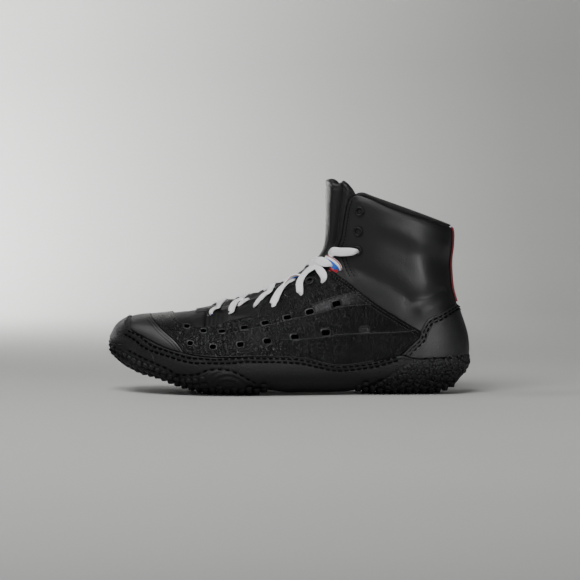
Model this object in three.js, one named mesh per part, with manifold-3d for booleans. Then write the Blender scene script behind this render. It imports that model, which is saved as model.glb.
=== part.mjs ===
// A left high-top wrestling shoe: a leather upper on a thin wrapped rubber sole, standing empty on the floor.
// X runs from the toe (-X) to the heel (+X), -Y is the outer side of the foot, +Z is up. Millimetres.
// The origin is on the floor, midway along the shoe.
import * as THREE from "three";
import { mergeVertices } from "three/addons/utils/BufferGeometryUtils.js";
import Module from "manifold-3d";

const wasm = await Module();
wasm.setup();

// Driving sizes.
const LENGTH = 295; // toe to heel, over the rubber
const BALL_WIDTH = 97; // across the upper at the ball of the foot
const COLLAR_HEIGHT = 163; // floor to the front corner of the collar
const LUG_DEPTH = 3; // tread standing out under the foot
const SIDE_LUG_DEPTH = 1.5; // tread on the turned-up side
const OUTSOLE_THICK = 2.9; // rubber under the foot
const RAND_THICK = 1.8; // rubber turned up the side
const RAND_STEP = 0.9; // thicker band of the rand, down by the tread
const UPPER_WALL = 2;
const OVERLAY_THICK = 1.3; // toe cap, quarters and heel counter
const STRIP_THICK = 1.1; // webbing down the back
const STRIP_WIDTH = 15;
const LINING_THICK = 2;
const LINING_DEPTH = 34; // down from the collar
const TONGUE_WING = 1.6; // thin sides of the tongue, under the facings
const TONGUE_MARGIN = 1; // between the middle of the tongue and the facings
const TONGUE_WING_WIDTH = 7; // hidden under each facing
const INSOLE_THICK = 3.6;
const INSOLE_ROOM = 4; // between the edge of the insole and the inside of the upper
const LASTING_MARGIN = 13; // of the upper, turned in under the foot
const EYELET_HOLE = 2.3; // radius
const EYELET_RING = 4; // outer radius
const EYELET_RISE = 1.1;
const VENT_LENGTH = 6; // long way of a punched hole in the quarters
const VENT_HEIGHT = 3.8;
const LACE_WIDTH = 6.4;
const LACE_THICK = 1.7;
const LUG_SIZE = 10.5; // across a lug under the foot
const LUG_PITCH = 15.5;
const KNOB_SIZE = 6; // across a knob on the side of the tread
const KNOB_PITCH = 10;
const GAP = 0.3; // between pieces that lie on each other
const SOLE_STACK = LUG_DEPTH + OUTSOLE_THICK + GAP; // floor to the underside of the upper

// The form of the upper's outer skin: one slanted section a row, from the toe tip round the heel to the collar.
// A section runs from a ridge point on the top or front line to a base point on the bottom or back line.
// ridgeX, baseX: share of LENGTH from the toe. ridgeZ: share of COLLAR_HEIGHT from the floor.
// baseZ: share of COLLAR_HEIGHT above SOLE_STACK. widest: share of the way from ridge to base.
// crownY, outer, inner: shares of BALL_WIDTH. topForm, baseForm: 2 is an ellipse, more is squarer.
const SECTION_COLUMNS =
  ["ridgeX", "ridgeZ", "baseX", "baseZ", "widest", "crownY", "outer", "inner", "topForm", "baseForm"];
const SECTIONS = [
  [0.011, 0.267, 0.011, 0.229, 0.5, 0.196, 0, 0, 2.2, 2.3],
  [0.016, 0.299, 0.021, 0.196, 0.5, 0.191, 0.129, 0.119, 2.2, 2.3],
  [0.029, 0.334, 0.043, 0.166, 0.5, 0.18, 0.232, 0.196, 2.25, 2.4],
  [0.054, 0.363, 0.068, 0.137, 0.52, 0.165, 0.325, 0.258, 2.3, 2.6],
  [0.09, 0.379, 0.098, 0.105, 0.55, 0.144, 0.402, 0.312, 2.3, 2.9],
  [0.139, 0.387, 0.142, 0.074, 0.58, 0.119, 0.469, 0.361, 2.25, 3.2],
  [0.2, 0.4, 0.2, 0.034, 0.62, 0.093, 0.515, 0.402, 2.15, 3.4],
  [0.269, 0.417, 0.272, 0.005, 0.66, 0.072, 0.546, 0.428, 2, 3.5],
  [0.345, 0.452, 0.355, 0, 0.69, 0.052, 0.552, 0.428, 1.88, 3.6],
  [0.415, 0.487, 0.437, 0, 0.7, 0.036, 0.521, 0.397, 1.78, 3.6],
  [0.487, 0.541, 0.534, 0, 0.7, 0.026, 0.464, 0.356, 1.74, 3.5],
  [0.542, 0.607, 0.647, 0, 0.7, 0.015, 0.397, 0.335, 1.78, 3.3],
  [0.575, 0.654, 0.766, 0, 0.69, 0.01, 0.361, 0.33, 1.85, 3.1],
  [0.593, 0.697, 0.879, 0.001, 0.66, 0.005, 0.345, 0.335, 1.95, 2.9],
  [0.602, 0.737, 0.951, 0.034, 0.6, 0, 0.335, 0.33, 2.05, 2.7],
  [0.606, 0.779, 0.985, 0.129, 0.55, 0, 0.33, 0.325, 2.1, 2.5],
  [0.607, 0.824, 0.988, 0.249, 0.52, 0, 0.33, 0.325, 2.15, 2.35],
  [0.607, 0.874, 0.967, 0.379, 0.5, 0, 0.335, 0.33, 2.2, 2.25],
  [0.607, 0.926, 0.95, 0.498, 0.5, 0, 0.345, 0.34, 2.2, 2.25],
  [0.607, 0.986, 0.948, 0.628, 0.5, 0, 0.356, 0.351, 2.2, 2.25],
  [0.607, 1.051, 0.952, 0.763, 0.5, 0, 0.366, 0.361, 2.2, 2.25],
  [0.607, 1.111, 0.955, 0.883, 0.5, 0, 0.371, 0.366, 2.2, 2.25],
];
const RINGS = 24; // sections made from the table
const HALF_RING = 8; // steps down each side of a section

// Lines of the side view, as [share of LENGTH from the toe, share of COLLAR_HEIGHT from the floor].
const COLLAR_LINE = [[0.664, 0.974], [0.686, 0.987], [0.725, 0.966], [0.773, 0.927], [0.842, 0.884], [1.02, 0.79]];
const LINING_LINE = [[0.668, 0.985], [0.683, 0.999], [0.704, 1.002], [0.73, 0.984], [0.807, 0.936], [1.02, 0.8]];
const THROAT_LINE = [
  [0.27, 0.409], [0.297, 0.413], [0.344, 0.432], [0.393, 0.459], [0.426, 0.482], [0.462, 0.514], [0.504, 0.556],
  [0.545, 0.596], [0.581, 0.629], [0.614, 0.661], [0.633, 0.721], [0.643, 0.771], [0.649, 0.841], [0.656, 0.916],
  [0.664, 0.974],
];
const TONGUE_TOP = [[0.603, 1.033], [0.609, 1.056], [0.617, 1.068], [0.647, 1.053], [0.669, 1.031], [0.691, 0.951]];
const RAND_LINE = [
  [0.051, 0.372], [0.059, 0.314], [0.083, 0.278], [0.138, 0.228], [0.207, 0.192], [0.269, 0.177], [0.344, 0.189],
  [0.415, 0.193], [0.529, 0.184], [0.631, 0.147], [0.736, 0.167], [0.807, 0.197], [0.86, 0.18], [1.03, 0.197],
];
const TREAD_LINE = [
  [-0.021, 0.292], [0.062, 0.217], [0.138, 0.157], [0.193, 0.109], [0.228, 0.103], [0.283, 0.125], [0.327, 0.128],
  [0.362, 0.109], [0.421, 0.059], [0.454, 0.017], [0.5, -0.01], [0.656, -0.008], [0.697, 0.042], [0.763, 0.084],
  [0.818, 0.147], [0.86, 0.18], [1.03, 0.197],
];
const TOE_SEAM = [[0.115, 0.472], [0.12, 0.382], [0.155, 0.322], [0.189, 0.272], [0.214, 0.219], [0.217, 0.15]];
const VAMP_EDGE = [
  [0.179, 0.472], [0.179, 0.397], [0.189, 0.375], [0.214, 0.344], [0.272, 0.339], [0.335, 0.364], [0.409, 0.394],
  [0.417, 0.434], [0.425, 0.463], [0.437, 0.489],
];
const SHAFT_SEAM = [[0.616, 0.619], [0.666, 0.555], [0.73, 0.465], [0.788, 0.397], [0.86, 0.317]];
const COUNTER_EDGE = [
  [1.03, 0.49], [0.962, 0.45], [0.907, 0.397], [0.879, 0.372], [0.861, 0.317], [0.856, 0.284], [0.832, 0.242],
  [0.807, 0.19],
];
const LACE_HOLES = {
  first: [0.286, 0.402], second: [0.341, 0.414], third: [0.407, 0.434], fourth: [0.457, 0.454],
  fifth: [0.531, 0.511], sixth: [0.593, 0.571],
};
const RINGED_HOLES = {
  quarter: [0.558, 0.569], shaft_low: [0.688, 0.714], shaft_mid: [0.688, 0.808], shaft_top: [0.693, 0.909],
};
const VENTS_HIGH = [
  [0.219, 0.34], [0.266, 0.319], [0.316, 0.318], [0.379, 0.338], [0.436, 0.361], [0.497, 0.387], [0.557, 0.414],
  [0.63, 0.449],
];
const VENTS_LOW = [[0.23, 0.256], [0.293, 0.239], [0.368, 0.25], [0.441, 0.267], [0.516, 0.286]];
// The lace over the tongue: joined bands, each from its lace hole to a peak on the ridge and down to where it tucks
// under the other facing.
const LACE_BANDS = {
  lace_bar: [[[0.286, 0.402], [0.29, 0.45]]],
  lace_crossing_1: [[[0.341, 0.414], [0.362, 0.484], [0.388, 0.474]]],
  lace_crossing_2: [[[0.407, 0.434], [0.428, 0.515], [0.46, 0.528]]],
  lace_crossing_3: [
    [[0.457, 0.454], [0.497, 0.572], [0.528, 0.592]],
    [[0.528, 0.511], [0.53, 0.605], [0.563, 0.632]],
  ],
  lace_crossing_4: [[[0.593, 0.571], [0.577, 0.672], [0.618, 0.648]], [[0.673, 0.714], [0.572, 0.677]]],
};

// Shares of LENGTH from the toe, where things start and end.
const LASTED_REACH = [0.14, 0.94]; // the open underside of the upper
const INSOLE_REACH = [0.05, 0.975];
const TONGUE_START = 0.24; // its wings, under the vamp
const FACING_END = 0.61; // top of the facings of the quarters
const LUG_ZONES = [[0.08, 0.43], [0.71, 0.93]]; // forefoot and heel
const KNOB_LEANS = [0.45, 0.8]; // how far the skin faces down where the two rows of knobs stand
const LUG_TAPER = 0.84; // top of a lug to its foot

const alongX = (share) => (share - 0.5) * LENGTH;
const upZ = (share) => share * COLLAR_HEIGHT;
const place = ([x, z]) => [alongX(x), upZ(z)];
const BEYOND = 0.3; // share of a named size past every piece

// The value of every column at a place along the table, on a curve through the rows.
function sectionAt(row) {
  const last = SECTIONS.length - 1;
  const start = Math.min(Math.floor(row), last - 1);
  const t = row - start;
  const values = {};
  SECTION_COLUMNS.forEach((name, column) => {
    const at = (index) => {
      if (index > last) return 2 * SECTIONS[last][column] - SECTIONS[last - 1][column];
      if (index >= 0) return SECTIONS[index][column];
      // Past the toe tip the side view folds over and the widths change sign, which rounds the tip.
      const folded = SECTIONS[1][column];
      if (name === "outer" || name === "inner") return -folded;
      if (name === "ridgeZ" || name === "baseZ") return 2 * SECTIONS[0][column] - folded;
      return folded;
    };
    const [a, b, c, d] = [at(start - 1), at(start), at(start + 1), at(start + 2)];
    values[name] = b + 0.5 * t * (c - a + t * (2 * a - 5 * b + 4 * c - d + t * (3 * (b - c) + d - a)));
  });
  return values;
}

// One half of a section, from ridge to base, as points at even angles. side is -1 outer, +1 inner.
function halfSection(values, side) {
  const ridge = new THREE.Vector2(alongX(values.ridgeX), upZ(values.ridgeZ));
  const base = new THREE.Vector2(alongX(values.baseX), SOLE_STACK + upZ(values.baseZ));
  const middle = ridge.clone().lerp(base, values.widest);
  const width = Math.max(0, side < 0 ? values.outer : values.inner) * BALL_WIDTH;
  const points = [];
  for (let i = 0; i <= HALF_RING; i += 1) {
    const angle = (Math.PI * i) / HALF_RING;
    const upper = i < HALF_RING / 2;
    const power = 2 / (upper ? values.topForm : values.baseForm);
    const along = i === HALF_RING / 2 ? 0 : Math.abs(Math.cos(angle)) ** power;
    const across = i % HALF_RING === 0 ? 0 : Math.abs(Math.sin(angle)) ** power;
    const p = middle.clone().lerp(upper ? ridge : base, along);
    points.push(new THREE.Vector3(p.x, values.crownY * BALL_WIDTH + side * width * across, p.y));
  }
  return points;
}

// The skin as rings of points: index 0 is the ridge, then down the outer side, the base, and up the inner side.
const RING = 2 * HALF_RING;
const wrap = (j) => (j + RING) % RING;
const skin = [];
for (let i = 1; i <= RINGS; i += 1) {
  const values = sectionAt((SECTIONS.length - 1) * (i / RINGS) ** 1.25);
  skin.push([...halfSection(values, -1), ...halfSection(values, 1).slice(1, -1).reverse()]);
}
const tip = halfSection(sectionAt(0), -1)[0];
const tipNormal = new THREE.Vector3(-1, 0, 0);
const normals = skin.map((ring, i) =>
  ring.map((_, j) => {
    const before = i > 0 ? skin[i - 1][j] : tip;
    const after = skin[Math.min(i + 1, skin.length - 1)][j];
    const along = after.clone().sub(before);
    return ring[wrap(j + 1)].clone().sub(ring[wrap(j - 1)]).cross(along).normalize();
  }),
);

// How far a point of the skin belongs to the flat underside, 0 to 1.
const underside = (normal) => THREE.MathUtils.smoothstep(-normal.z, 0.6, 0.97);

// A solid from a closed geometry.
function solid(geometry) {
  const bare = geometry.index ? geometry.toNonIndexed() : geometry.clone();
  bare.deleteAttribute("normal");
  bare.deleteAttribute("uv");
  const merged = mergeVertices(bare, 1e-4);
  return new wasm.Manifold(
    new wasm.Mesh({
      numProp: 3,
      vertProperties: new Float32Array(merged.attributes.position.array),
      triVerts: new Uint32Array(merged.index.array),
    }),
  );
}

// The whole form of the skin grown outwards by offset(normal, point), and lifted.
function grown(offset, lift = 0) {
  const by = typeof offset === "number" ? () => offset : offset;
  const moved = (p, normal) => p.clone().addScaledVector(normal, by(normal, p)).add(new THREE.Vector3(0, 0, lift));
  const points = [moved(tip, tipNormal)];
  skin.forEach((ring, i) => ring.forEach((p, j) => points.push(moved(p, normals[i][j]))));
  const id = (i, j) => 1 + i * RING + wrap(j);
  const faces = [];
  for (let j = 0; j < RING; j += 1) faces.push(0, id(0, j + 1), id(0, j));
  for (let i = 0; i < RINGS - 1; i += 1) {
    for (let j = 0; j < RING; j += 1) {
      faces.push(id(i, j), id(i, j + 1), id(i + 1, j + 1), id(i, j), id(i + 1, j + 1), id(i + 1, j));
    }
  }
  const end = points.length;
  const last = points.slice(end - RING);
  points.push(last.reduce((sum, p) => sum.add(p), new THREE.Vector3()).divideScalar(RING));
  for (let j = 0; j < RING; j += 1) faces.push(end, id(RINGS - 1, j), id(RINGS - 1, j + 1));
  const geometry = new THREE.BufferGeometry();
  const position = new THREE.Float32BufferAttribute(points.flatMap((p) => [p.x, p.y, p.z]), 3);
  geometry.setAttribute("position", position);
  geometry.setIndex(faces);
  return solid(geometry);
}
const shell = (from, to) => grown(to).subtract(grown(from));

// A prism right across the shoe from an outline of [x, z] points in the side view.
function sidePrism(outline) {
  const shape = new THREE.Shape(outline.map(([x, z]) => new THREE.Vector2(x, z)));
  const geometry = new THREE.ExtrudeGeometry(shape, { depth: 2 * BALL_WIDTH, bevelEnabled: false });
  geometry.rotateX(Math.PI / 2);
  geometry.translate(0, BALL_WIDTH, 0);
  return solid(geometry);
}

// A smooth line of [x, z] points through rows of shares.
function smooth(rows, steps = 1) {
  const curve = new THREE.SplineCurve(rows.map((row) => new THREE.Vector2(...place(row))));
  return curve.getPoints(steps * (rows.length - 1)).map((p) => [p.x, p.y]);
}
// The line moved sideways, to the left of its own direction.
function beside(points, distance) {
  return points.map((_, i) => {
    const [x0, z0] = points[Math.max(i - 1, 0)];
    const [x1, z1] = points[Math.min(i + 1, points.length - 1)];
    const length = Math.hypot(x1 - x0, z1 - z0);
    return [points[i][0] - (distance * (z1 - z0)) / length, points[i][1] + (distance * (x1 - x0)) / length];
  });
}
const UNDER = [[1 + BEYOND, -BEYOND], [-BEYOND, -BEYOND]].map(place);
const below = (line) => sidePrism([[alongX(-BEYOND), line[0][1]], ...line, ...UNDER]);

// The widest reach of the foot across the shoe at x, low down on one side.
function footprint(x, side) {
  let reach = 0;
  const edges = skin.flatMap((ring, i) =>
    ring.flatMap((p, j) => [[p, i > 0 ? skin[i - 1][j] : tip], [p, ring[wrap(j + 1)]]]),
  );
  edges.forEach(([p, q]) => {
    if ((p.x - x) * (q.x - x) > 0 || p.z > upZ(0.3)) return;
    const t = p.x === q.x ? 0 : (x - p.x) / (q.x - p.x);
    reach = Math.max(reach, side * THREE.MathUtils.lerp(p.y, q.y, t));
  });
  return side * reach;
}
// A flat slab in plan, inside the footprint by a margin.
function footSlab(from, to, margin, bottom, top) {
  const steps = 9;
  const corners = [-1, 1].map((side) =>
    Array.from({ length: steps + 1 }, (_, i) => {
      const share = 0.5 - 0.5 * Math.cos((Math.PI * i) / steps);
      const x = alongX(from + (to - from) * share);
      const round = Math.sin(Math.PI * Math.min(0.5, 2.2 * share, 2.2 * (1 - share)) * 0.94 + 0.094);
      return new THREE.Vector2(x, (footprint(x, side) - side * margin) * round);
    }),
  );
  const shape = new THREE.Shape([...corners[0], ...corners[1].reverse()]);
  const geometry = new THREE.ExtrudeGeometry(shape, { depth: top - bottom, bevelEnabled: false });
  geometry.translate(0, 0, bottom);
  return solid(geometry);
}

// The facet of the skin that covers a place in the side view (or in plan), on one side.
function facetAt(u, v, side, axes = ["x", "z"]) {
  const [a, b] = axes;
  for (let i = 0; i < RINGS - 1; i += 1) {
    for (let j = 0; j < RING; j += 1) {
      const quad = [skin[i][j], skin[i][wrap(j + 1)], skin[i + 1][wrap(j + 1)], skin[i + 1][j]];
      for (const [p, q, r] of [[quad[0], quad[1], quad[2]], [quad[0], quad[2], quad[3]]]) {
        const normal = q.clone().sub(p).cross(r.clone().sub(p)).normalize();
        if (axes[1] === "z" ? normal.y * side <= 0 : normal.z > -0.5) continue;
        const area = (q[a] - p[a]) * (r[b] - p[b]) - (r[a] - p[a]) * (q[b] - p[b]);
        const m = ((u - p[a]) * (r[b] - p[b]) - (r[a] - p[a]) * (v - p[b])) / area;
        const n = ((q[a] - p[a]) * (v - p[b]) - (u - p[a]) * (q[b] - p[b])) / area;
        if (m < 0 || n < 0 || m + n > 1) continue;
        const point = p.clone().multiplyScalar(1 - m - n).addScaledVector(q, m).addScaledVector(r, n);
        return { point, normal };
      }
    }
  }
  return null;
}
// A geometry made along +Z, set on the skin with +Z along the normal and its own X level, or along the foot below.
function onFacet(geometry, { point, normal }, level) {
  const up = normal.z < -0.8 ? new THREE.Vector3(0, 1, 0) : new THREE.Vector3(0, 0, 1);
  const sideways = up.cross(normal).normalize();
  const turn = new THREE.Matrix4().makeBasis(sideways, normal.clone().cross(sideways), normal);
  return geometry.applyMatrix4(turn.setPosition(point.clone().addScaledVector(normal, level)));
}
const bothSides = (make) => [-1, 1].map(make);
const join = (solids) => solids.reduce((all, one) => all.add(one));

// The holes for the lace and the punched vents, as cutters through every layer.
const REACH = UPPER_WALL + LINING_THICK + 2 * GAP + 1;
function hole(at, side) {
  const drill = new THREE.CylinderGeometry(EYELET_HOLE, EYELET_HOLE, 2 * REACH, 6).rotateX(Math.PI / 2);
  return solid(onFacet(drill, facetAt(...place(at), side), 0));
}
function vent(at, side) {
  const punch = new THREE.BoxGeometry(VENT_LENGTH, VENT_HEIGHT, 2 * OVERLAY_THICK);
  return solid(onFacet(punch, facetAt(...place(at), side), GAP + OVERLAY_THICK / 2));
}
const holes = join([...Object.values(LACE_HOLES), ...Object.values(RINGED_HOLES)].flatMap((at) =>
  bothSides((side) => hole(at, side)),
));
const vents = join([...VENTS_HIGH, ...VENTS_LOW].flatMap((at) => bothSides((side) => vent(at, side))));

// The upper: one hollow wall, open at the throat and collar, and underneath inside a margin for the sole.
const throat = smooth(THROAT_LINE);
const opening = sidePrism([...throat, ...smooth(COLLAR_LINE, 2).slice(1), ...[
  [1 + BEYOND, 1 + BEYOND], [THROAT_LINE[0][0], 1 + BEYOND],
].map(place)]);
const HOLE_TOP = SOLE_STACK + upZ(0.1);
const underneath = footSlab(...LASTED_REACH, LASTING_MARGIN, 0, HOLE_TOP);
const upper = shell(-UPPER_WALL, 0).subtract(opening).subtract(underneath).subtract(holes);

// The overlays: shells over the upper, cut to their outlines in the side view.
const overlay = shell(GAP, GAP + OVERLAY_THICK);
const aboveRand = grown(GAP + 2 * OVERLAY_THICK).subtract(below(beside(smooth(RAND_LINE), GAP)));
const toeSeam = smooth(TOE_SEAM);
const [toeTop, toeFloor] = [TOE_SEAM[0][1], TOE_SEAM.at(-1)[1]];
const toeCap = overlay.intersect(aboveRand).intersect(
  sidePrism([...beside(toeSeam, -GAP), ...[[-BEYOND, toeFloor], [-BEYOND, toeTop]].map(place)]),
);
const shaftSeam = smooth(SHAFT_SEAM);
const counterEdge = smooth(COUNTER_EDGE);
const [heelFront] = COUNTER_EDGE.at(-1);
const facing = throat.filter(([x]) => x > alongX(VAMP_EDGE.at(-1)[0]) + GAP && x < alongX(FACING_END));
const quarterOutline = sidePrism([
  ...smooth(VAMP_EDGE), ...facing, ...shaftSeam.slice(0, -1), ...beside(counterEdge.slice(4), -GAP),
  ...[[heelFront, -BEYOND], [TOE_SEAM.at(-1)[0], -BEYOND]].map(place), ...toeSeam.slice().reverse(),
]);
const quarters = overlay.intersect(aboveRand).intersect(quarterOutline).subtract(holes).subtract(vents);
const counterOutline = sidePrism([...counterEdge, ...[[heelFront, -BEYOND], [1 + BEYOND, -BEYOND]].map(place)]);
const heelCounter = overlay.intersect(aboveRand).intersect(counterOutline);

// The webbing down the back of the shaft, from the collar to the counter.
const stripSlab = new THREE.BoxGeometry(LENGTH / 2, STRIP_WIDTH, COLLAR_HEIGHT);
stripSlab.translate(alongX(1), 0, upZ(0.5));
const aboveCounter = grown(3 * OVERLAY_THICK).subtract(sidePrism([
  ...beside(counterEdge, -GAP).slice(0, 5), ...UNDER.slice().reverse(),
]));
const backStrip = shell(GAP, GAP + STRIP_THICK).intersect(solid(stripSlab)).intersect(aboveCounter)
  .subtract(opening);

// The collar lining, standing a little above the leather.
const liningTop = smooth(LINING_LINE, 2);
const shaftFront = throat.filter(([, z]) => z > liningTop[0][1] - LINING_DEPTH);
const liningOutline = sidePrism([
  ...shaftFront, ...liningTop, ...liningTop.map(([x, z]) => [x, z - LINING_DEPTH]).reverse(),
]);
const liningOut = -UPPER_WALL - GAP;
const lining = shell(liningOut - LINING_THICK, liningOut).intersect(liningOutline);

// The tongue: a padded middle in the throat, with thin wings under the facings.
const tongueLine = smooth(TONGUE_TOP);
const wingTop = (_, p) =>
  liningOut - (LINING_THICK + GAP) * THREE.MathUtils.smoothstep(p.z, upZ(0.6), upZ(0.7));
const wingBottom = (normal, p) => wingTop(normal, p) - TONGUE_WING;
const tongueOutline = (edge) => sidePrism([
  ...edge, ...tongueLine.filter(([x]) => x < edge.at(-1)[0]).reverse(),
  place([0.5, TONGUE_TOP[0][1]]), [edge[0][0], upZ(0.6)],
]);
const padFront = throat[0][0] + TONGUE_MARGIN;
const padEdge = beside(throat, TONGUE_MARGIN).filter(([x]) => x > padFront + TONGUE_MARGIN);
const wingEdge = beside([[alongX(TONGUE_START), throat[0][1]], ...throat], -TONGUE_WING_WIDTH);
const padTop = GAP + OVERLAY_THICK; // level with the quarters, so that the lace lies on both
const pad = shell(wingBottom, padTop).intersect(tongueOutline([[padFront, padEdge[0][1]], ...padEdge]));
const wings = shell(wingBottom, wingTop).intersect(tongueOutline(wingEdge));
const tongue = pad.add(wings);

// The insole, lying in the bottom of the upper.
const insoleOut = -UPPER_WALL - GAP;
const insole = grown(insoleOut).subtract(grown(insoleOut, INSOLE_THICK))
  .intersect(footSlab(...INSOLE_REACH, UPPER_WALL + INSOLE_ROOM, 0, upZ(0.3)));

// The outsole: rubber under the foot, turned up the side as a rand, with a thicker band down by the tread.
const WAIST = [0.44, 0.5, 0.64, 0.7]; // shares of LENGTH where the smooth rubber between the treads comes and goes
const WAIST_RISE = 1.2; // floor to that smooth rubber
const inWaist = (p) =>
  THREE.MathUtils.smoothstep(p.x, alongX(WAIST[0]), alongX(WAIST[1])) -
  THREE.MathUtils.smoothstep(p.x, alongX(WAIST[2]), alongX(WAIST[3]));
const rubber = (normal, p) => {
  const foot = OUTSOLE_THICK + (LUG_DEPTH - WAIST_RISE) * inWaist(p);
  return GAP + THREE.MathUtils.lerp(RAND_THICK, foot, underside(normal));
};
const band = (normal, p) => rubber(normal, p) + RAND_STEP * (1 - 0.7 * underside(normal));
const treadLine = smooth(TREAD_LINE);
const [randTip] = RAND_LINE[0];
const randTop = sidePrism([
  [-BEYOND, toeFloor], [randTip, toeFloor], [randTip, toeTop], [-BEYOND, toeTop],
].map(place));
const randCutter = below(smooth(RAND_LINE)).add(randTop);
const cup = grown(rubber).intersect(randCutter);
const lowBand = grown(band).intersect(below(treadLine)).intersect(randCutter);
const board = footSlab(...LASTED_REACH, LASTING_MARGIN + GAP, 0, HOLE_TOP)
  .intersect(grown(2 * GAP)).subtract(grown(insoleOut, -GAP));

// A block of rubber standing on the skin, narrower at its top.
function block(size, facet, bottom, top) {
  const half = size / Math.SQRT2;
  const post = new THREE.CylinderGeometry(half * LUG_TAPER, half, top - bottom, 4).rotateX(Math.PI / 2);
  post.rotateZ(Math.PI / 4);
  return solid(onFacet(post, facet, (top + bottom) / 2));
}
// Whether a point lies in the treaded part of the side.
function inTread(point, room) {
  const i = treadLine.findIndex(([x]) => x > point.x);
  if (i < 1) return point.z < treadLine[0][1];
  const [[x0, z0], [x1, z1]] = [treadLine[i - 1], treadLine[i]];
  return point.z + room < THREE.MathUtils.lerp(z0, z1, (point.x - x0) / (x1 - x0));
}
// Rows of knobs round the side of the tread, along lines where the skin leans by a chosen amount.
function knobs(lean) {
  const made = [];
  bothSides((side) => {
    const order = Array.from({ length: HALF_RING }, (_, k) => (side < 0 ? k : wrap(-k)));
    const trail = skin.flatMap((ring, i) => {
      const k = order.findIndex((j, n) => n > HALF_RING / 3 && normals[i][j].z < -lean);
      if (k < 0) return [];
      const [j, h] = [order[k], order[k - 1]];
      const t = (-lean - normals[i][h].z) / (normals[i][j].z - normals[i][h].z);
      const normal = normals[i][h].clone().lerp(normals[i][j], t).normalize();
      return [{ point: ring[h].clone().lerp(ring[j], t), normal }];
    });
    let walked = 0;
    let next = KNOB_PITCH / 2;
    for (let i = 1; i < trail.length; i += 1) {
      const length = trail[i].point.distanceTo(trail[i - 1].point);
      while (next < walked + length) {
        const t = (next - walked) / length;
        const point = trail[i - 1].point.clone().lerp(trail[i].point, t);
        const normal = trail[i - 1].normal.clone().lerp(trail[i].normal, t).normalize();
        if (inTread(point, KNOB_SIZE * 0.7)) {
          const depth = THREE.MathUtils.lerp(SIDE_LUG_DEPTH, LUG_DEPTH, underside(normal));
          const face = band(normal, point);
          made.push(block(KNOB_SIZE, { point, normal }, face - 1, face + depth));
        }
        next += KNOB_PITCH;
      }
      walked += length;
    }
  });
  return made;
}
// Staggered lugs under the foot, at the forefoot and the heel.
function lugs(from, to) {
  const made = [];
  const rows = Math.floor(((to - from) * LENGTH) / (LUG_PITCH * 0.87));
  for (let i = 0; i <= rows; i += 1) {
    const x = alongX(from) + i * LUG_PITCH * 0.87;
    const [outer, inner] = [footprint(x, -1), footprint(x, 1)];
    const across = Math.floor((inner - outer - 2 * LUG_SIZE) / LUG_PITCH);
    for (let k = 0; k <= across; k += 1) {
      const y = (outer + inner) / 2 + (k - across / 2) * LUG_PITCH;
      const facet = facetAt(x, y, 1, ["x", "y"]);
      if (facet && facet.normal.z < -0.9) made.push(block(LUG_SIZE, facet, 1, LUG_DEPTH + OUTSOLE_THICK + GAP + 1));
    }
  }
  return made;
}
const ground = sidePrism([[-BEYOND, -BEYOND], [1 + BEYOND, -BEYOND], [1 + BEYOND, 0], [-BEYOND, 0]].map(place));
const tread = join([...KNOB_LEANS.flatMap(knobs), ...LUG_ZONES.flatMap(([from, to]) => lugs(from, to))]);
const outsole = cup.add(lowBand).add(tread).subtract(grown(GAP)).add(board).subtract(ground);

// Flat laces: bands between two larger skins, from each lace hole over the ridge to the next facing.
const laceIn = 2 * GAP + OVERLAY_THICK;
const laceShell = shell(laceIn, laceIn + LACE_THICK);
function strand(from, to) {
  const [a, b] = [from, to].map((p) => new THREE.Vector2(...place(p)));
  const along = b.clone().sub(a).normalize();
  const side = new THREE.Vector2(-along.y, along.x).multiplyScalar(LACE_WIDTH / 2);
  const corners = [a.clone().add(side), a.clone().sub(side), b.clone().sub(side), b.clone().add(side)];
  return sidePrism(corners.reverse().map((p) => [p.x, p.y]));
}

// The ring of an eyelet, on its hole.
function eyelet(at, side, level) {
  const profile = [[EYELET_HOLE, 0], [EYELET_RING, 0], [EYELET_RING, EYELET_RISE], [EYELET_HOLE, EYELET_RISE]];
  const ring = new THREE.LatheGeometry([...profile, profile[0]].map((p) => new THREE.Vector2(...p)), 8);
  ring.rotateX(Math.PI / 2);
  return solid(onFacet(ring, facetAt(...place(at), side), level));
}

const part = new THREE.Group();
function addNode(name, shape, color, roughness = 0.6) {
  const { numProp, vertProperties, triVerts } = shape.getMesh();
  const geometry = new THREE.BufferGeometry();
  const position = new Float32Array((vertProperties.length / numProp) * 3);
  for (let i = 0; i < position.length / 3; i += 1) {
    position.set(vertProperties.subarray(i * numProp, i * numProp + 3), 3 * i);
  }
  geometry.setAttribute("position", new THREE.BufferAttribute(position, 3));
  geometry.setIndex(new THREE.BufferAttribute(triVerts, 1));
  geometry.computeVertexNormals();
  const mesh = new THREE.Mesh(geometry, new THREE.MeshStandardMaterial({ color, roughness, metalness: 0 }));
  mesh.name = name;
  part.add(mesh);
}
const LEATHER = 0x1b1b1c;
const RUBBER = 0x161617;
addNode("outsole", outsole, RUBBER, 0.75);
addNode("insole", insole, 0x202022, 0.9);
addNode("upper", upper, LEATHER, 0.5);
addNode("toe_cap", toeCap, LEATHER, 0.42);
addNode("quarters", quarters, LEATHER, 0.55);
addNode("heel_counter", heelCounter, RUBBER, 0.65);
addNode("back_strip", backStrip, 0xb0202a, 0.85);
addNode("collar_lining", lining, 0x1c1c1e, 0.9);
addNode("tongue", tongue, 0x19191a, 0.6);
bothSides((side) => {
  const word = side < 0 ? "outer" : "inner";
  Object.entries(RINGED_HOLES).forEach(([where, at]) => {
    const level = where === "quarter" ? 3 * GAP + OVERLAY_THICK : 2 * GAP;
    addNode("eyelet_" + where + "_" + word, eyelet(at, side, level), 0x0e0e0f, 0.4);
  });
});
const WHITE = 0xf2f2f2;
Object.entries(LACE_BANDS).forEach(([name, bands]) => {
  const strands = bands.flatMap((turns) => turns.slice(1).map((to, i) => strand(turns[i], to)));
  addNode(name, laceShell.intersect(join(strands)), WHITE, 0.85);
});

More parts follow.
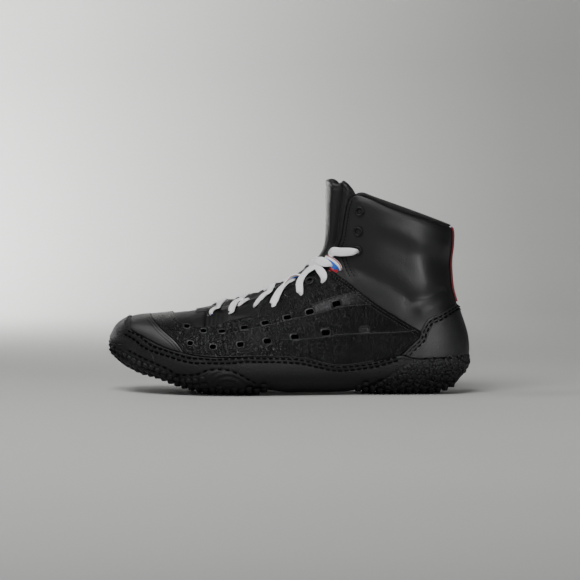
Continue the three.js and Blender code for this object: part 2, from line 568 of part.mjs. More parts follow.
// The origin: on the floor, under the middle of the shoe.
const middle = new THREE.Box3().setFromObject(part).getCenter(new THREE.Vector3());
part.position.set(-middle.x, -middle.y, 0);
export default part;
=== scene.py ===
import bpy
import numpy as np
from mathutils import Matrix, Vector


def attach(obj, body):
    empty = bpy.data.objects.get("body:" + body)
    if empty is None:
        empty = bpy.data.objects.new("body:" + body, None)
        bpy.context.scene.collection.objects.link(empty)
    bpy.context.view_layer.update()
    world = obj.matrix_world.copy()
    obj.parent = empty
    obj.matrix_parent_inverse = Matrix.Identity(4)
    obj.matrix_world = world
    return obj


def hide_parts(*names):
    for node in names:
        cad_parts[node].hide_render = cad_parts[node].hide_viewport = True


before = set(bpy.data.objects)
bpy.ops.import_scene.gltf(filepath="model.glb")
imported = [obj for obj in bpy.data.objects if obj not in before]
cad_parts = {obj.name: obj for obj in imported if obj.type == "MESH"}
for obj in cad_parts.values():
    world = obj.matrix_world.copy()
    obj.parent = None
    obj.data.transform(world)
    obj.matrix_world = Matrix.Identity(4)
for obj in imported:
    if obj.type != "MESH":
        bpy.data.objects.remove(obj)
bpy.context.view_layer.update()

# The upper
# One hollow sock of soft black leather, 2 mm thick, lasted over a foot form, open at the throat and collar.
# Every panel, the sole and the lining are sewn or glued to it, so the form of the foot is worked out here.
# Metres. X runs from the toe (-X) to the heel, -Y is the outer side of the foot, +Z is up.
MM = 0.001
LENGTH, BALL_WIDTH, COLLAR_HEIGHT, SOLE_STACK = 295 * MM, 97 * MM, 163 * MM, 6.2 * MM
MIDDLE_X, MIDDLE_Y = 0.569 * MM, -0.179 * MM
# One slanted section of the foot form a row, from the toe tip round the heel to the collar.
# Shares: ridge x and z, base x and z, widest place, middle across, outer and inner reach, and two forms.
SECTIONS = np.array([
    [0.011, 0.267, 0.011, 0.229, 0.5, 0.196, 0, 0, 2.2, 2.3],
    [0.016, 0.299, 0.021, 0.196, 0.5, 0.191, 0.129, 0.119, 2.2, 2.3],
    [0.029, 0.334, 0.043, 0.166, 0.5, 0.18, 0.232, 0.196, 2.25, 2.4],
    [0.054, 0.363, 0.068, 0.137, 0.52, 0.165, 0.325, 0.258, 2.3, 2.6],
    [0.09, 0.379, 0.098, 0.105, 0.55, 0.144, 0.402, 0.312, 2.3, 2.9],
    [0.139, 0.387, 0.142, 0.074, 0.58, 0.119, 0.469, 0.361, 2.25, 3.2],
    [0.2, 0.4, 0.2, 0.034, 0.62, 0.093, 0.515, 0.402, 2.15, 3.4],
    [0.269, 0.417, 0.272, 0.005, 0.66, 0.072, 0.546, 0.428, 2, 3.5],
    [0.345, 0.452, 0.355, 0, 0.69, 0.052, 0.552, 0.428, 1.88, 3.6],
    [0.415, 0.487, 0.437, 0, 0.7, 0.036, 0.521, 0.397, 1.78, 3.6],
    [0.487, 0.541, 0.534, 0, 0.7, 0.026, 0.464, 0.356, 1.74, 3.5],
    [0.542, 0.607, 0.647, 0, 0.7, 0.015, 0.397, 0.335, 1.78, 3.3],
    [0.575, 0.654, 0.766, 0, 0.69, 0.01, 0.361, 0.33, 1.85, 3.1],
    [0.593, 0.697, 0.879, 0.001, 0.66, 0.005, 0.345, 0.335, 1.95, 2.9],
    [0.602, 0.737, 0.951, 0.034, 0.6, 0, 0.335, 0.33, 2.05, 2.7],
    [0.606, 0.779, 0.985, 0.129, 0.55, 0, 0.33, 0.325, 2.1, 2.5],
    [0.607, 0.824, 0.988, 0.249, 0.52, 0, 0.33, 0.325, 2.15, 2.35],
    [0.607, 0.874, 0.967, 0.379, 0.5, 0, 0.335, 0.33, 2.2, 2.25],
    [0.607, 0.926, 0.95, 0.498, 0.5, 0, 0.345, 0.34, 2.2, 2.25],
    [0.607, 0.986, 0.948, 0.628, 0.5, 0, 0.356, 0.351, 2.2, 2.25],
    [0.607, 1.051, 0.952, 0.763, 0.5, 0, 0.366, 0.361, 2.2, 2.25],
    [0.607, 1.111, 0.955, 0.883, 0.5, 0, 0.371, 0.366, 2.2, 2.25],
])
LAST_ROW = len(SECTIONS) - 1
# Lines of the side view: shares of the length from the toe and of the collar height from the floor.
COLLAR_LINE = [[0.664, 0.974], [0.686, 0.987], [0.725, 0.966], [0.773, 0.927], [0.842, 0.884], [1.02, 0.79]]
THROAT_LINE = [
    [0.27, 0.409], [0.297, 0.413], [0.344, 0.432], [0.393, 0.459], [0.426, 0.482], [0.462, 0.514],
    [0.504, 0.556], [0.545, 0.596], [0.581, 0.629], [0.614, 0.661], [0.633, 0.721], [0.643, 0.771],
    [0.649, 0.841], [0.656, 0.916], [0.664, 0.974],
]
# Skin to outside and inside of each layer.
UPPER_WALL, GAP, OVERLAY = 2 * MM, 0.3 * MM, 1.3 * MM
# Soft folds of worn-in leather: line, depth (minus is a ridge) and half width.
FOLDS = [
    ([[0.829, 0.465], [0.853, 0.472], [0.875, 0.4815], [0.911, 0.5035], [0.926, 0.511]],
     1.2 * MM, 2.2 * MM),
    ([[0.83, 0.474], [0.875, 0.49], [0.911, 0.51]], 0.6 * MM, 4.5 * MM),
    ([[0.865, 0.425], [0.89, 0.437], [0.923, 0.46]], -1.3 * MM, 7 * MM),
    ([[0.679, 0.631], [0.725, 0.596], [0.771, 0.556], [0.803, 0.505], [0.823, 0.473], [0.833, 0.44]],
     1.2 * MM, 6 * MM),
    ([[0.74, 0.65], [0.82, 0.57]], -0.9 * MM, 8 * MM),
    ([[0.69, 0.82], [0.8, 0.735], [0.93, 0.65]], 1.0 * MM, 8 * MM),
    ([[0.855, 0.72], [0.868, 0.57]], -1.3 * MM, 9 * MM),
    ([[0.77, 0.83], [0.82, 0.795], [0.92, 0.74]], -1.2 * MM, 7 * MM),
    ([[0.225, 0.395], [0.245, 0.33]], 0.45 * MM, 2.4 * MM),
    ([[0.43, 0.42], [0.47, 0.36]], 0.4 * MM, 3.0 * MM),
    ([[0.49, 0.47], [0.53, 0.42], [0.55, 0.36]], 0.7 * MM, 4 * MM),
    ([[0.57, 0.5], [0.63, 0.47]], -0.8 * MM, 5 * MM),
    ([[0.64, 0.52], [0.67, 0.47], [0.7, 0.4]], 0.5 * MM, 5 * MM),
    ([[0.664, 0.97], [0.686, 0.99], [0.725, 0.969], [0.773, 0.93], [0.842, 0.887], [1.02, 0.793]],
     1.2 * MM, 3.2 * MM),
]


def section(row):
    """The values of the table at any row, on a cubic through the rows; past the tip the form folds over."""
    before = SECTIONS[1].copy()
    before[[6, 7]] *= -1
    before[[1, 3]] = 2 * SECTIONS[0, [1, 3]] - SECTIONS[1, [1, 3]]
    table = np.vstack([before, SECTIONS, 2 * SECTIONS[-1] - SECTIONS[-2]])
    start = np.clip(np.floor(row).astype(int), 0, LAST_ROW - 1)
    t = (row - start)[..., None]
    a, b, c, d = (table[start + k] for k in range(4))
    v = b + 0.5 * t * (c - a + t * (2 * a - 5 * b + 4 * c - d + t * (3 * (b - c) + d - a)))
    ridge = np.stack([(v[..., 0] - 0.5) * LENGTH, v[..., 1] * COLLAR_HEIGHT], -1)
    base = np.stack([(v[..., 2] - 0.5) * LENGTH, SOLE_STACK + v[..., 3] * COLLAR_HEIGHT], -1)
    return ridge, base, v[..., 4:5], v[..., 5:8] * BALL_WIDTH, v[..., 8], v[..., 9]


def skin(row, angle):
    """A place on the bare form. Angle 0 is the ridge, pi the base; the outer side is below pi, the inner
    above. Down a section the share is a power of the angle's cosine, and across it one of its sine."""
    ridge, base, widest, across, top_form, base_form = section(row)
    inner = angle > np.pi
    fold = np.where(inner, 2 * np.pi - angle, angle)
    upper = fold < np.pi / 2
    power = 2 / np.where(upper, top_form, base_form)
    along = (np.abs(np.cos(fold)) ** power)[..., None]
    reach = np.where(np.abs(np.sin(fold)) < 1e-9, 0, np.abs(np.sin(fold)) ** power)
    middle = ridge + widest * (base - ridge)
    side = middle + along * (np.where(upper[..., None], ridge, base) - middle)
    width = np.maximum(0, np.where(inner, across[..., 2], across[..., 1]))
    y = across[..., 0] + np.where(inner, 1, -1) * width * reach
    return np.stack([side[..., 0] + MIDDLE_X, y + MIDDLE_Y, side[..., 1]], -1)


def unit(ways):
    """The same directions with a length of one."""
    return ways / np.linalg.norm(ways, axis=-1, keepdims=True)


def outward(row, angle):
    """The direction straight out of the form: the cross product of a step round it and one along it."""
    step, turn = 0.06, 0.04
    along = skin(np.minimum(row + step, LAST_ROW), angle) - skin(np.maximum(row - step, 0), angle)
    round_it = skin(row, (angle + turn) % (2 * np.pi)) - skin(row, (angle - turn) % (2 * np.pi))
    return unit(np.cross(round_it, along))


def metres(shares):
    """Side-view shares as X and Z in metres."""
    return np.asarray(shares, float) * [LENGTH, COLLAR_HEIGHT] + [MIDDLE_X - LENGTH / 2, 0]


def side_view(points):
    """Where points show in the side view, as a share of the length and one of the collar height."""
    return (points[..., 0] - MIDDLE_X) / LENGTH + 0.5, points[..., 2] / COLLAR_HEIGHT


def find(shares):
    """The row, the angle on the outer side and the share from ridge to base of side-view places: the row is
    the one whose ridge, base and place lie on one line, and the angle undoes the power of the cosine."""
    x, z = (metres(shares) - [MIDDLE_X, 0]).reshape(-1, 2).T
    rows = np.linspace(0, LAST_ROW, 40 * LAST_ROW + 1)
    ridge, base, *_ = section(rows)
    line = base - ridge
    gap = np.stack([x[:, None] - ridge[:, 0], z[:, None] - ridge[:, 1]], -1)
    off = line[:, 0] * gap[..., 1] - line[:, 1] * gap[..., 0]
    share = (gap * line).sum(-1) / np.maximum((line ** 2).sum(-1), 1e-12)
    middle = 0.5 * (share[:, 1:] + share[:, :-1])
    cost = np.maximum(0, -middle) + np.maximum(0, middle - 1) + 1e3 * (off[:, 1:] * off[:, :-1] > 0)
    k = cost.argmin(1)
    n = np.arange(len(x))
    low, high = off[n, k], off[n, k + 1]
    part = np.where(np.abs(low - high) > 1e-15, low / (low - high + 1e-30), 0.5)
    row = rows[k] + part * rows[1]
    share = (1 - part) * share[n, k] + part * share[n, k + 1]
    _, _, widest, _, top_form, base_form = section(row)
    widest = widest[..., 0]
    upper = share < widest
    lean = np.where(upper, (widest - share) / widest, (share - widest) / (1 - widest))
    bend = np.arccos(np.clip(lean, 0, 1) ** (np.where(upper, top_form, base_form) / 2))
    share[cost[n, k] > 1] = np.nan
    return row, np.where(upper, bend, np.pi - bend), share


def smooth(line, steps=10):
    """A curve through the points: each stretch is a cubic that follows the neighbouring points."""
    p = np.asarray(line, float)
    p = np.vstack([2 * p[0] - p[1], p, 2 * p[-1] - p[-2]])
    t = np.linspace(0, 1, steps, endpoint=False)[:, None, None]
    a, b, c, d = p[:-3], p[1:-2], p[2:-1], p[3:]
    curve = b + 0.5 * t * (c - a + t * (2 * a - 5 * b + 4 * c - d + t * (3 * (b - c) + d - a)))
    return np.vstack([curve.swapaxes(0, 1).reshape(-1, p.shape[1]), p[-2]])


def trace(line, steps=10):
    """The rows and angles of a side-view line, cut and ended where it runs past the ridge or the back."""
    row, angle, share = find(smooth(line, steps))
    on = np.flatnonzero((share >= 0) & (share <= 1))
    kept = np.stack([row, angle], -1)[on]
    ends = [[row[i], 0.0 if share[i] < 0.5 else np.pi] for i in (on[0], on[-1])]
    if on[0] > 0:
        kept = np.vstack([ends[0], kept])
    if on[-1] < len(row) - 1:
        kept = np.vstack([kept, ends[1]])
    return kept


def beside(line, distance):
    """The line moved sideways, to the left of its own direction, by a distance in metres."""
    p = metres(line)
    ahead = unit(np.gradient(p, axis=0))
    moved = p + distance * np.stack([-ahead[:, 1], ahead[:, 0]], -1)
    return (moved - [MIDDLE_X - LENGTH / 2, 0]) / [LENGTH, COLLAR_HEIGHT]


def ridge_rows(start, end, angle=0.0):
    """Rows and angles along the ridge (0) or the base line (pi)."""
    rows = np.linspace(start, end, 40)
    return np.stack([rows, np.full_like(rows, angle)], -1)


def steps_along(length, cell, start=(0.0,), end=(0.0,)):
    """Distances along a length, a cell apart, with closer ones given for the start and the end."""
    room = min(1, length / (3 * (start[-1] + end[-1]) + 1e-9))
    first, last = room * np.array(start), length - room * np.array(end)[::-1]
    count = max(2, int(np.ceil((last[0] - first[-1]) / cell)) + 1)
    return np.concatenate([first[:-1], np.linspace(first[-1], last[0], count), last[1:]])


def distances(path):
    """How far along its path each point is."""
    hops = np.linalg.norm(np.diff(path, axis=0), axis=-1)
    return np.concatenate([np.zeros_like(hops[:1]), np.cumsum(hops, 0)])


def values_at(at, far, path):
    """The values of a path at distances along it."""
    return np.stack([np.interp(at, far, column) for column in path.T], -1)


NEAR_EDGE = (0.0, 0.06 * MM, 0.22 * MM, 0.48 * MM, 0.85 * MM, 1.4 * MM)


def ruled(pairs, cell, start=(0.0,), end=(0.0,), top=NEAR_EDGE, base=(0.0,), fine=()):
    """A grid of rows and angles between pairs of lines: both lines of a pair are walked in the same number
    of even steps, and straight lines join them, with closer steps where the top or base is a free edge."""
    lines = [[], []]
    for k, pair in enumerate(pairs):
        walked = [distances(skin(line[:, 0], line[:, 1])) for line in pair]
        length = max(w[-1] for w in walked)
        at = steps_along(length, dict(fine).get(k, cell), start if k == 0 else (0.0,),
                         end if k == len(pairs) - 1 else (0.0,)) / length
        for n, (line, w) in enumerate(zip(pair, walked)):
            made = values_at(at * w[-1], w, line)
            lines[n].append(made if k == 0 else made[1:])
    high, low = (np.vstack(parts) for parts in lines)
    tries = np.linspace(0, 1, 17)[:, None, None]
    across = high + tries * (low - high)
    points = skin(across[..., 0], across[..., 1])
    hops = np.linalg.norm(np.diff(points, axis=0), axis=-1)
    length = hops.sum(0)
    count = max(2, int(np.ceil(np.percentile(length, 90) / cell)))
    speeds = [np.maximum(hops[k] * 16, 1e-6) for k in (0, -1)]
    room = np.minimum(1, length / (4 * (top[-1] + base[-1]) + 1e-9))
    first = np.array(top)[:, None] * (room / speeds[0])
    last = 1 - np.array(base)[::-1, None] * (room / speeds[1])
    even = first[-1] + np.linspace(0, 1, count + 1)[:, None] * (last[0] - first[-1])
    share = np.vstack([first[:-1], even, last[1:]]).T[..., None]
    return high[:, None] + share * (low - high)[:, None]


def off_line(points, line):
    """How far points are from a side-view line, in metres, as seen from the side."""
    p = points[..., [0, 2]]
    ends = metres(line)
    best = np.full(p.shape[:-1], 1.0)
    for a, b in zip(ends, ends[1:]):
        along = np.clip(((p - a) @ (b - a)) / ((b - a) @ (b - a)), 0, 1)
        best = np.minimum(best, np.linalg.norm(p - a - along[..., None] * (b - a), axis=-1))
    return best


def bell(distance, width):
    """1 on a line, falling off softly with the square of the distance."""
    return np.exp(-((distance / width) ** 2))


def by_line(points, line, width):
    """1 on a side-view line, falling off softly beside it."""
    return bell(off_line(points, line), width)


def rise(value, low, high):
    """0 up to low, 1 from high on, with a soft S between."""
    t = np.clip((value - low) / (high - low), 0, 1)
    return t * t * (3 - 2 * t)


def folds(points):
    """How far the leather stands out, minus in a fold: a sum of soft folds, weaker on the inner side."""
    lift = sum(-depth * by_line(points, line, width) for line, depth, width in FOLDS)
    return lift * np.where(points[..., 1] > 0, 0.7, 1.0)


def to_edge(points, edges):
    """The distance of points to the nearest stretch of the edges, each a row of points in space."""
    best = np.full(points.shape[:-1], 1.0)
    for edge in edges:
        for a, b in zip(edge, edge[1:]):
            ahead = b - a
            size = ahead @ ahead
            along = np.clip(((points - a) @ ahead) / size, 0, 1) if size > 1e-14 else np.zeros(best.shape)
            best = np.minimum(best, np.linalg.norm(points - a - along[..., None] * ahead, axis=-1))
    return best


def weld(points, faces):
    """Points that lie in one place become one, and faces that lost a corner lose it or go."""
    _, first, same = np.unique(np.round(points * 2e6).astype(np.int64), axis=0, return_index=True,
                               return_inverse=True)
    faces = same.ravel()[faces]
    repeats = faces == np.roll(faces, -1, 1)
    whole = faces[repeats.sum(1) == 0]
    cut = faces[repeats.sum(1) == 1]
    three = cut[~repeats[repeats.sum(1) == 1]].reshape(-1, 3)
    three = three[(three != np.roll(three, -1, 1)).all(1)]
    return points[first], whole.tolist() + three.tolist()


def piece(name, points, faces, finish, slot, *nodes):
    """A smooth-shaded mesh in its place, riding on the shoe, with its finish and what it stands for."""
    mesh = bpy.data.meshes.new(name)
    mesh.from_pydata(points.tolist(), [], faces)
    mesh.polygons.foreach_set("use_smooth", np.ones(len(mesh.polygons), bool))
    mesh.materials.append(finish)
    made = bpy.data.objects.new(name, mesh)
    bpy.context.scene.collection.objects.link(made)
    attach(made, "root")
    if nodes:
        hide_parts(*nodes)
    return made


def grid_faces(n, m, first=0):
    """The four-cornered faces of a grid of n by m points."""
    i, j = np.meshgrid(np.arange(n - 1), np.arange(m - 1), indexing="ij")
    k = (first + i * m + j).ravel()
    return np.stack([k, k + m, k + m + 1, k + 1], -1)


def wall(grid, inside, outside, free=("top",), rim=0.8 * MM):
    """A closed wall over a grid and its mirror image on the inner side. It fills the room between two
    distances off the skin, and closes on its middle along a quarter ellipse at each free edge."""
    row, angle = grid[..., 0], grid[..., 1]
    flat = skin(row, angle)
    seam = (angle < 1e-6) | (angle > np.pi - 1e-6)
    picks = {"top": np.s_[:, 0], "base": np.s_[:, -1], "start": np.s_[0], "end": np.s_[-1]}
    edges = []
    for name in free:
        line, joined = flat[picks[name]], seam[picks[name]]
        stays = np.flatnonzero(~(joined[1:] & joined[:-1]))
        edges += [line[s:s + 2] for s in stays]
    share = np.sqrt(1 - (1 - np.clip(to_edge(flat, edges) / rim, 0, 1)) ** 2) if edges else 1.0
    points, faces = [], []
    for angles in (angle, 2 * np.pi - angle):
        place, out = skin(row, angles), outward(row, angles)
        low, high = inside(row, angle, place), outside(row, angle, place)
        middle, half = (low + high) / 2 + folds(place), share * (high - low) / 2
        for sign in (1, -1):
            made = place + out * (middle + sign * half)[..., None]
            quads = grid_faces(*row.shape, sum(len(p) for p in points))
            i, j = row.shape[0] // 2, row.shape[1] // 2
            turn = np.cross(made[i + 1, j] - made[i, j], made[i, j + 1] - made[i, j]) @ out[i, j] * sign
            points.append(made.reshape(-1, 3))
            faces.append(quads if turn > 0 else quads[:, ::-1])
    return weld(np.vstack(points), np.vstack(faces))


def level(distance):
    """A layer face at one distance off the skin."""
    return lambda row, angle, place: np.full(row.shape, distance)


def fill(tree, made, inputs):
    """Writes values and links sockets into a node's inputs; a node stands for its first output."""
    for key, value in inputs.items():
        if isinstance(value, bpy.types.Node):
            value = value.outputs[0]
        if isinstance(value, bpy.types.NodeSocket):
            tree.links.new(value, made.inputs[key])
        else:
            made.inputs[key].default_value = value


def node(tree, kind, inputs=None, **settings):
    """Adds a shader node, sets its options and fills its inputs."""
    made = tree.nodes.new("ShaderNode" + kind)
    for key, value in settings.items():
        setattr(made, key, value)
    fill(tree, made, inputs or {})
    return made


def worked_out(tree, operation, *values):
    """One number worked out from one, two or three others."""
    return node(tree, "Math", dict(enumerate(values)), operation=operation)


def graded(tree, value, low, high, at_low=0.0, at_high=1.0, **settings):
    """A number that goes from one value to another while the given one goes from low to high."""
    return node(tree, "MapRange", {"Value": value, 1: low, 2: high, 3: at_low, 4: at_high}, **settings)


def blend(tree, share, first, second):
    """The colour a share of the way from the first to the second."""
    return node(tree, "Mix", {0: share, 6: first, 7: second}, data_type="RGBA").outputs[2]


def material(name):
    """A new material with its nodes, its shader, and the place on the shoe that its patterns follow."""
    made = bpy.data.materials.new(name)
    made.use_nodes = True
    tree = made.node_tree
    return made, tree, tree.nodes["Principled BSDF"], node(tree, "TexCoord").outputs["Object"]


def shared_effect(name, sockets, outputs):
    """An empty node group with float or vector inputs and float outputs."""
    tree = bpy.data.node_groups.new(name, "ShaderNodeTree")
    for key, kind, value in sockets:
        made = tree.interface.new_socket(key, in_out="INPUT", socket_type="NodeSocket" + kind)
        if value is not None:
            made.default_value = value
    for key in outputs:
        tree.interface.new_socket(key, in_out="OUTPUT", socket_type="NodeSocketFloat")
    return tree, tree.nodes.new("NodeGroupInput").outputs, tree.nodes.new("NodeGroupOutput")


# Leather grain: domed cells of a wandering net, fine pores, and a slow change in how rubbed it is.
grain, given, out = shared_effect(
    "leather_grain", [("Place", "Vector", None), ("Cells", "Float", 900.0), ("Wander", "Float", 0.5),
                      ("Swell", "Float", 1.0), ("Creases", "Float", 0.0)], ["Height", "Rubbed"])
drift = node(grain, "TexNoise", {"Vector": given["Place"], "Scale": 260.0, "Detail": 2.0})
push = node(grain, "VectorMath", {0: drift.outputs["Color"], 1: (0.5, 0.5, 0.5)}, operation="SUBTRACT")
reach = worked_out(grain, "MULTIPLY", given["Wander"], 0.003)
sized = node(grain, "VectorMath", {0: push, "Scale": reach}, operation="SCALE")
moved = node(grain, "VectorMath", {0: given["Place"], 1: sized}, operation="ADD")
cells = node(grain, "TexVoronoi", {"Vector": moved, "Scale": given["Cells"], "Smoothness": 0.35},
             feature="SMOOTH_F1")
domes = graded(grain, cells.outputs["Distance"], 0.05, 0.62, 1.0, 0.0, interpolation_type="SMOOTHSTEP")
pores = node(grain, "TexNoise", {"Vector": given["Place"], "Scale": 4200.0, "Detail": 1.0})
fine = worked_out(grain, "MULTIPLY_ADD", pores.outputs["Fac"], 0.22, domes)
slow = node(grain, "TexNoise", {"Vector": given["Place"], "Scale": 34.0, "Detail": 3.0, "Roughness": 0.6})
rubbed = graded(grain, slow.outputs["Fac"], 0.32, 0.68)
swells = node(grain, "TexNoise", {"Vector": given["Place"], "Scale": 120.0, "Detail": 2.0})
swollen = worked_out(grain, "MULTIPLY_ADD", swells.outputs["Fac"], given["Swell"], fine)
waves = node(grain, "TexWave", {"Vector": moved, "Scale": 270.0, "Distortion": 9.0, "Detail": 2.0,
                                "Detail Scale": 1.6, "Detail Roughness": 0.6}, bands_direction="X")
creased = worked_out(grain, "MULTIPLY_ADD", waves.outputs["Fac"], given["Creases"], swollen)
fill(grain, out, {"Height": creased, "Rubbed": rubbed})


def leather(name, colour, cells, wander, depth, rough, stretch=(1, 1, 1), worn=0.35, swell=1.0, creases=0.0,
            shine=0.5, hollow=None):
    """Black leather: grain bumps, paler and smoother where it is rubbed, and painted shade, near black and
    without reflection, where an attribute says that a slot is cut: it holds the distance from the slot's
    edge in metres, minus inside."""
    made, tree, shader, place = material(name)
    stretched = node(tree, "Mapping", {"Vector": place, "Scale": stretch})
    skin_grain = node(tree, "Group", {"Place": stretched, "Cells": cells, "Wander": wander, "Swell": swell,
                                      "Creases": creases}, node_tree=grain)
    height, rub = skin_grain.outputs["Height"], skin_grain.outputs["Rubbed"]
    paler = tuple(1.7 * c + 0.001 for c in colour)
    tint = blend(tree, rub, (*colour, 1), (*paler, 1))
    # Painted shade: inside a slot the colour goes near black and the reflection goes to nothing.
    if hollow:
        far = node(tree, "Attribute", attribute_name=hollow).outputs["Fac"]
        painted_hole_shade = graded(tree, far, -0.25 * MM, 0.0, 1.0, 0.0)
        tint = blend(tree, painted_hole_shade, tint, (0.0008, 0.0008, 0.0008, 1))
        shine = graded(tree, painted_hole_shade, 0.0, 1.0, shine, 0.0)
    fill(tree, shader, {
        "Base Color": tint,
        "Roughness": graded(tree, rub, 0.0, 1.0, rough, rough * (1 - worn)),
        "Normal": node(tree, "Bump", {"Height": height, "Strength": 1.0, "Distance": depth}),
        "Specular IOR Level": shine,
    })
    return made


smooth_leather = leather("smooth_leather", (0.0038, 0.0038, 0.0042), 1500, 0.5, 0.06 * MM, 0.53, swell=1.8)
row_front = find([THROAT_LINE[0]])[0][0]
throat, collar = trace(THROAT_LINE), trace(COLLAR_LINE)
throat_front = np.vstack([[row_front, 0], throat[0]])
panel_end = row_front - 0.03


def change_along(finish, key, *span, of="Principled BSDF"):
    """Makes an input of a finish go evenly from one value to another between two places along X."""
    tree = finish.node_tree
    along = node(tree, "SeparateXYZ", {0: node(tree, "TexCoord").outputs["Object"]}).outputs["X"]
    fill(tree, tree.nodes[of], {key: graded(tree, along, *span)})


change_along(smooth_leather, "Specular IOR Level", -0.025, 0.02, 0.22, 0.46)
upper_grid = ruled([
    (ridge_rows(0, panel_end), ridge_rows(0, panel_end, np.pi)),
    (ridge_rows(panel_end, row_front), ridge_rows(panel_end, row_front, np.pi)),
    (throat_front, ridge_rows(row_front, row_front + 0.4, np.pi)),
    (throat, ridge_rows(row_front + 0.4, 13.5, np.pi)),
    (collar, ridge_rows(13.5, 16, np.pi)),
], 2.0 * MM, fine={1: 0.22 * MM, 2: 0.95 * MM, 3: 1.45 * MM})
STRAP_SEAM = [[0.642, 0.70], [0.648, 0.66], [0.66, 0.605], [0.672, 0.575]]
SHAFT_FRONT = [[0.633, 0.721], [0.643, 0.771], [0.649, 0.841], [0.656, 0.916], [0.664, 0.974]]


def upper_outside(row, angle, place):
    """The leather face: a vamp panel, a step and ribs behind it, and grooves for the shaft's seams."""
    x, z = side_view(place)
    vamp = 0.25 * MM * (1 - rise(row, panel_end, row_front))
    behind = (rise(row, panel_end, row_front) * (1 - rise(x, 0.327, 0.334)) * rise(z, 0.33, 0.35)
              * (angle < 1.7))
    ribs = behind * (0.3 * MM * np.cos(2 * np.pi * place[..., 0] / (3.4 * MM)) - 0.7 * MM)
    stay = (0.5 * MM * rise(x, 0.333, 0.337) * (1 - rise(x, 0.45, 0.47)) * (angle < 1.6)
            * rise(z, 0.378, 0.386))
    edge = by_line(place, beside(THROAT_LINE[:8], -1.5 * MM), 1.0 * MM) * rise(x, 0.333, 0.337)
    seam = by_line(place, STRAP_SEAM, 0.8 * MM) + by_line(place, beside(STRAP_SEAM, 2.8 * MM), 0.8 * MM)
    hem = by_line(place, beside(SHAFT_FRONT, -2.4 * MM), 0.8 * MM)
    return vamp + ribs + stay - 0.4 * MM * edge - 0.5 * MM * seam - 0.3 * MM * hem


upper = piece("upper_leather", *wall(upper_grid, level(-UPPER_WALL), upper_outside),
              smooth_leather, "smooth_leather", "upper")

# The insole
# A thin knit-covered foam sheet. It is cut a little smaller than the foot and lies loose in the bottom of
# the upper.
INSOLE_THICK, INSOLE_MARGIN = 3.6 * MM, 6.5 * MM
insole_finish = leather("insole_knit", (0.012, 0.012, 0.013), 2600, 0.1, 0.12 * MM, 0.95)
plan = np.linspace(0.0, 1.0, 90)[:, None]
spread = np.linspace(-1.0, 1.0, 41)[None, :]
heel_to_toe = 0.5 - 0.5 * np.cos(np.pi * plan)
insole_x = MIDDLE_X + (0.055 - 0.5 + 0.915 * heel_to_toe) * LENGTH
form_rows = np.linspace(0, 16, 321)
low_skin = skin(form_rows[:, None], np.linspace(1.6, 2 * np.pi - 1.6, 181)[None, :])


def footprint(x, side, margin):
    """The reach of the foot to one side at places along it: the widest of the form's low points there."""
    low = low_skin[low_skin[..., 2] < 0.3 * COLLAR_HEIGHT]
    order = np.linspace(-LENGTH / 2, LENGTH / 2, 149)
    cell = np.clip(np.searchsorted(order, low[:, 0]), 1, len(order) - 1)
    reach = np.full(len(order), np.nan)
    for k in np.unique(cell):
        reach[k] = (side * low[cell == k, 1]).max()
    known = ~np.isnan(reach)
    return side * (np.interp(x, order[known], reach[known]) - margin)


def floor_height(x, y):
    """The height of the form's underside at places in plan, on the lower half of the section there."""
    base = section(form_rows)[1]
    underfoot = form_rows < 15
    row = np.interp(x - MIDDLE_X, base[underfoot, 0], form_rows[underfoot])
    ridge, base, widest, across, _, base_form = section(row)
    side = np.where(y > across[..., 0], across[..., 2], across[..., 1])
    share = np.clip(np.abs(y - across[..., 0]) / np.maximum(side, 1e-5), 0, 1) ** (base_form / 2)
    down = np.sqrt(np.clip(1 - share ** 2, 0, 1)) ** (2 / base_form)
    middle = ridge + widest * (base - ridge)
    return middle[..., 1] + down * (base[..., 1] - middle[..., 1])


room = np.sqrt(np.clip(1 - np.abs(2 * plan - 1) ** 9, 0, 1))
reach_out = footprint(insole_x, -1, INSOLE_MARGIN) * room
reach_in = footprint(insole_x, 1, INSOLE_MARGIN) * room
insole_y = reach_out + (reach_in - reach_out) * (spread + 1) / 2
insole_x = np.broadcast_to(insole_x, insole_y.shape)
insole_low = floor_height(insole_x, insole_y) + UPPER_WALL + 2 * GAP
ends = np.minimum(1, np.minimum(1 - np.abs(spread), 1 - np.abs(2 * plan - 1)) * 12)
thick = INSOLE_THICK * (0.25 + 0.75 * np.sqrt(1 - (1 - ends) ** 2))
closed = (np.abs(spread) < 1) & (np.abs(2 * plan - 1) < 1)
sheets = [np.stack([insole_x, insole_y, insole_low + np.where(closed, lift, 0.3 * INSOLE_THICK)], -1)
          for lift in (thick, 0 * thick)]
insole_faces = grid_faces(*insole_y.shape)
piece("insole_sheet", *weld(
    np.vstack([s.reshape(-1, 3) for s in sheets]),
    np.vstack([insole_faces, insole_faces[:, ::-1] + insole_y.size])),
    insole_finish, "insole_fabric", "insole")

# The collar lining
# A soft knitted lining with thin foam behind it, sewn inside the top of the shaft; its rolled top stands a
# few millimetres above the leather all round.
LINING_LINE = [[0.668, 0.976], [0.683, 0.991], [0.704, 0.996], [0.73, 0.979], [0.807, 0.931], [1.02, 0.797]]
LINING_FOOT = [[0.645, 0.776], [0.683, 0.795], [0.73, 0.775], [0.807, 0.727], [0.9, 0.655], [1.02, 0.57]]
LINING_THICK = 2 * MM
lining_top, lining_foot = trace(LINING_LINE), trace(LINING_FOOT)
NEAR_ROLL = (0.0, 0.12 * MM, 0.45 * MM, 1.0 * MM, 1.8 * MM, 2.8 * MM)
lining_grid = ruled([(lining_top, lining_foot)], 1.4 * MM, start=NEAR_EDGE, top=NEAR_ROLL, base=NEAR_EDGE)


def above_line(points, line):
    """How far points stand above a side-view line that runs from toe to heel."""
    edge = metres(smooth(line))
    return points[..., 2] - np.interp(points[..., 0], edge[:, 0], edge[:, 1])


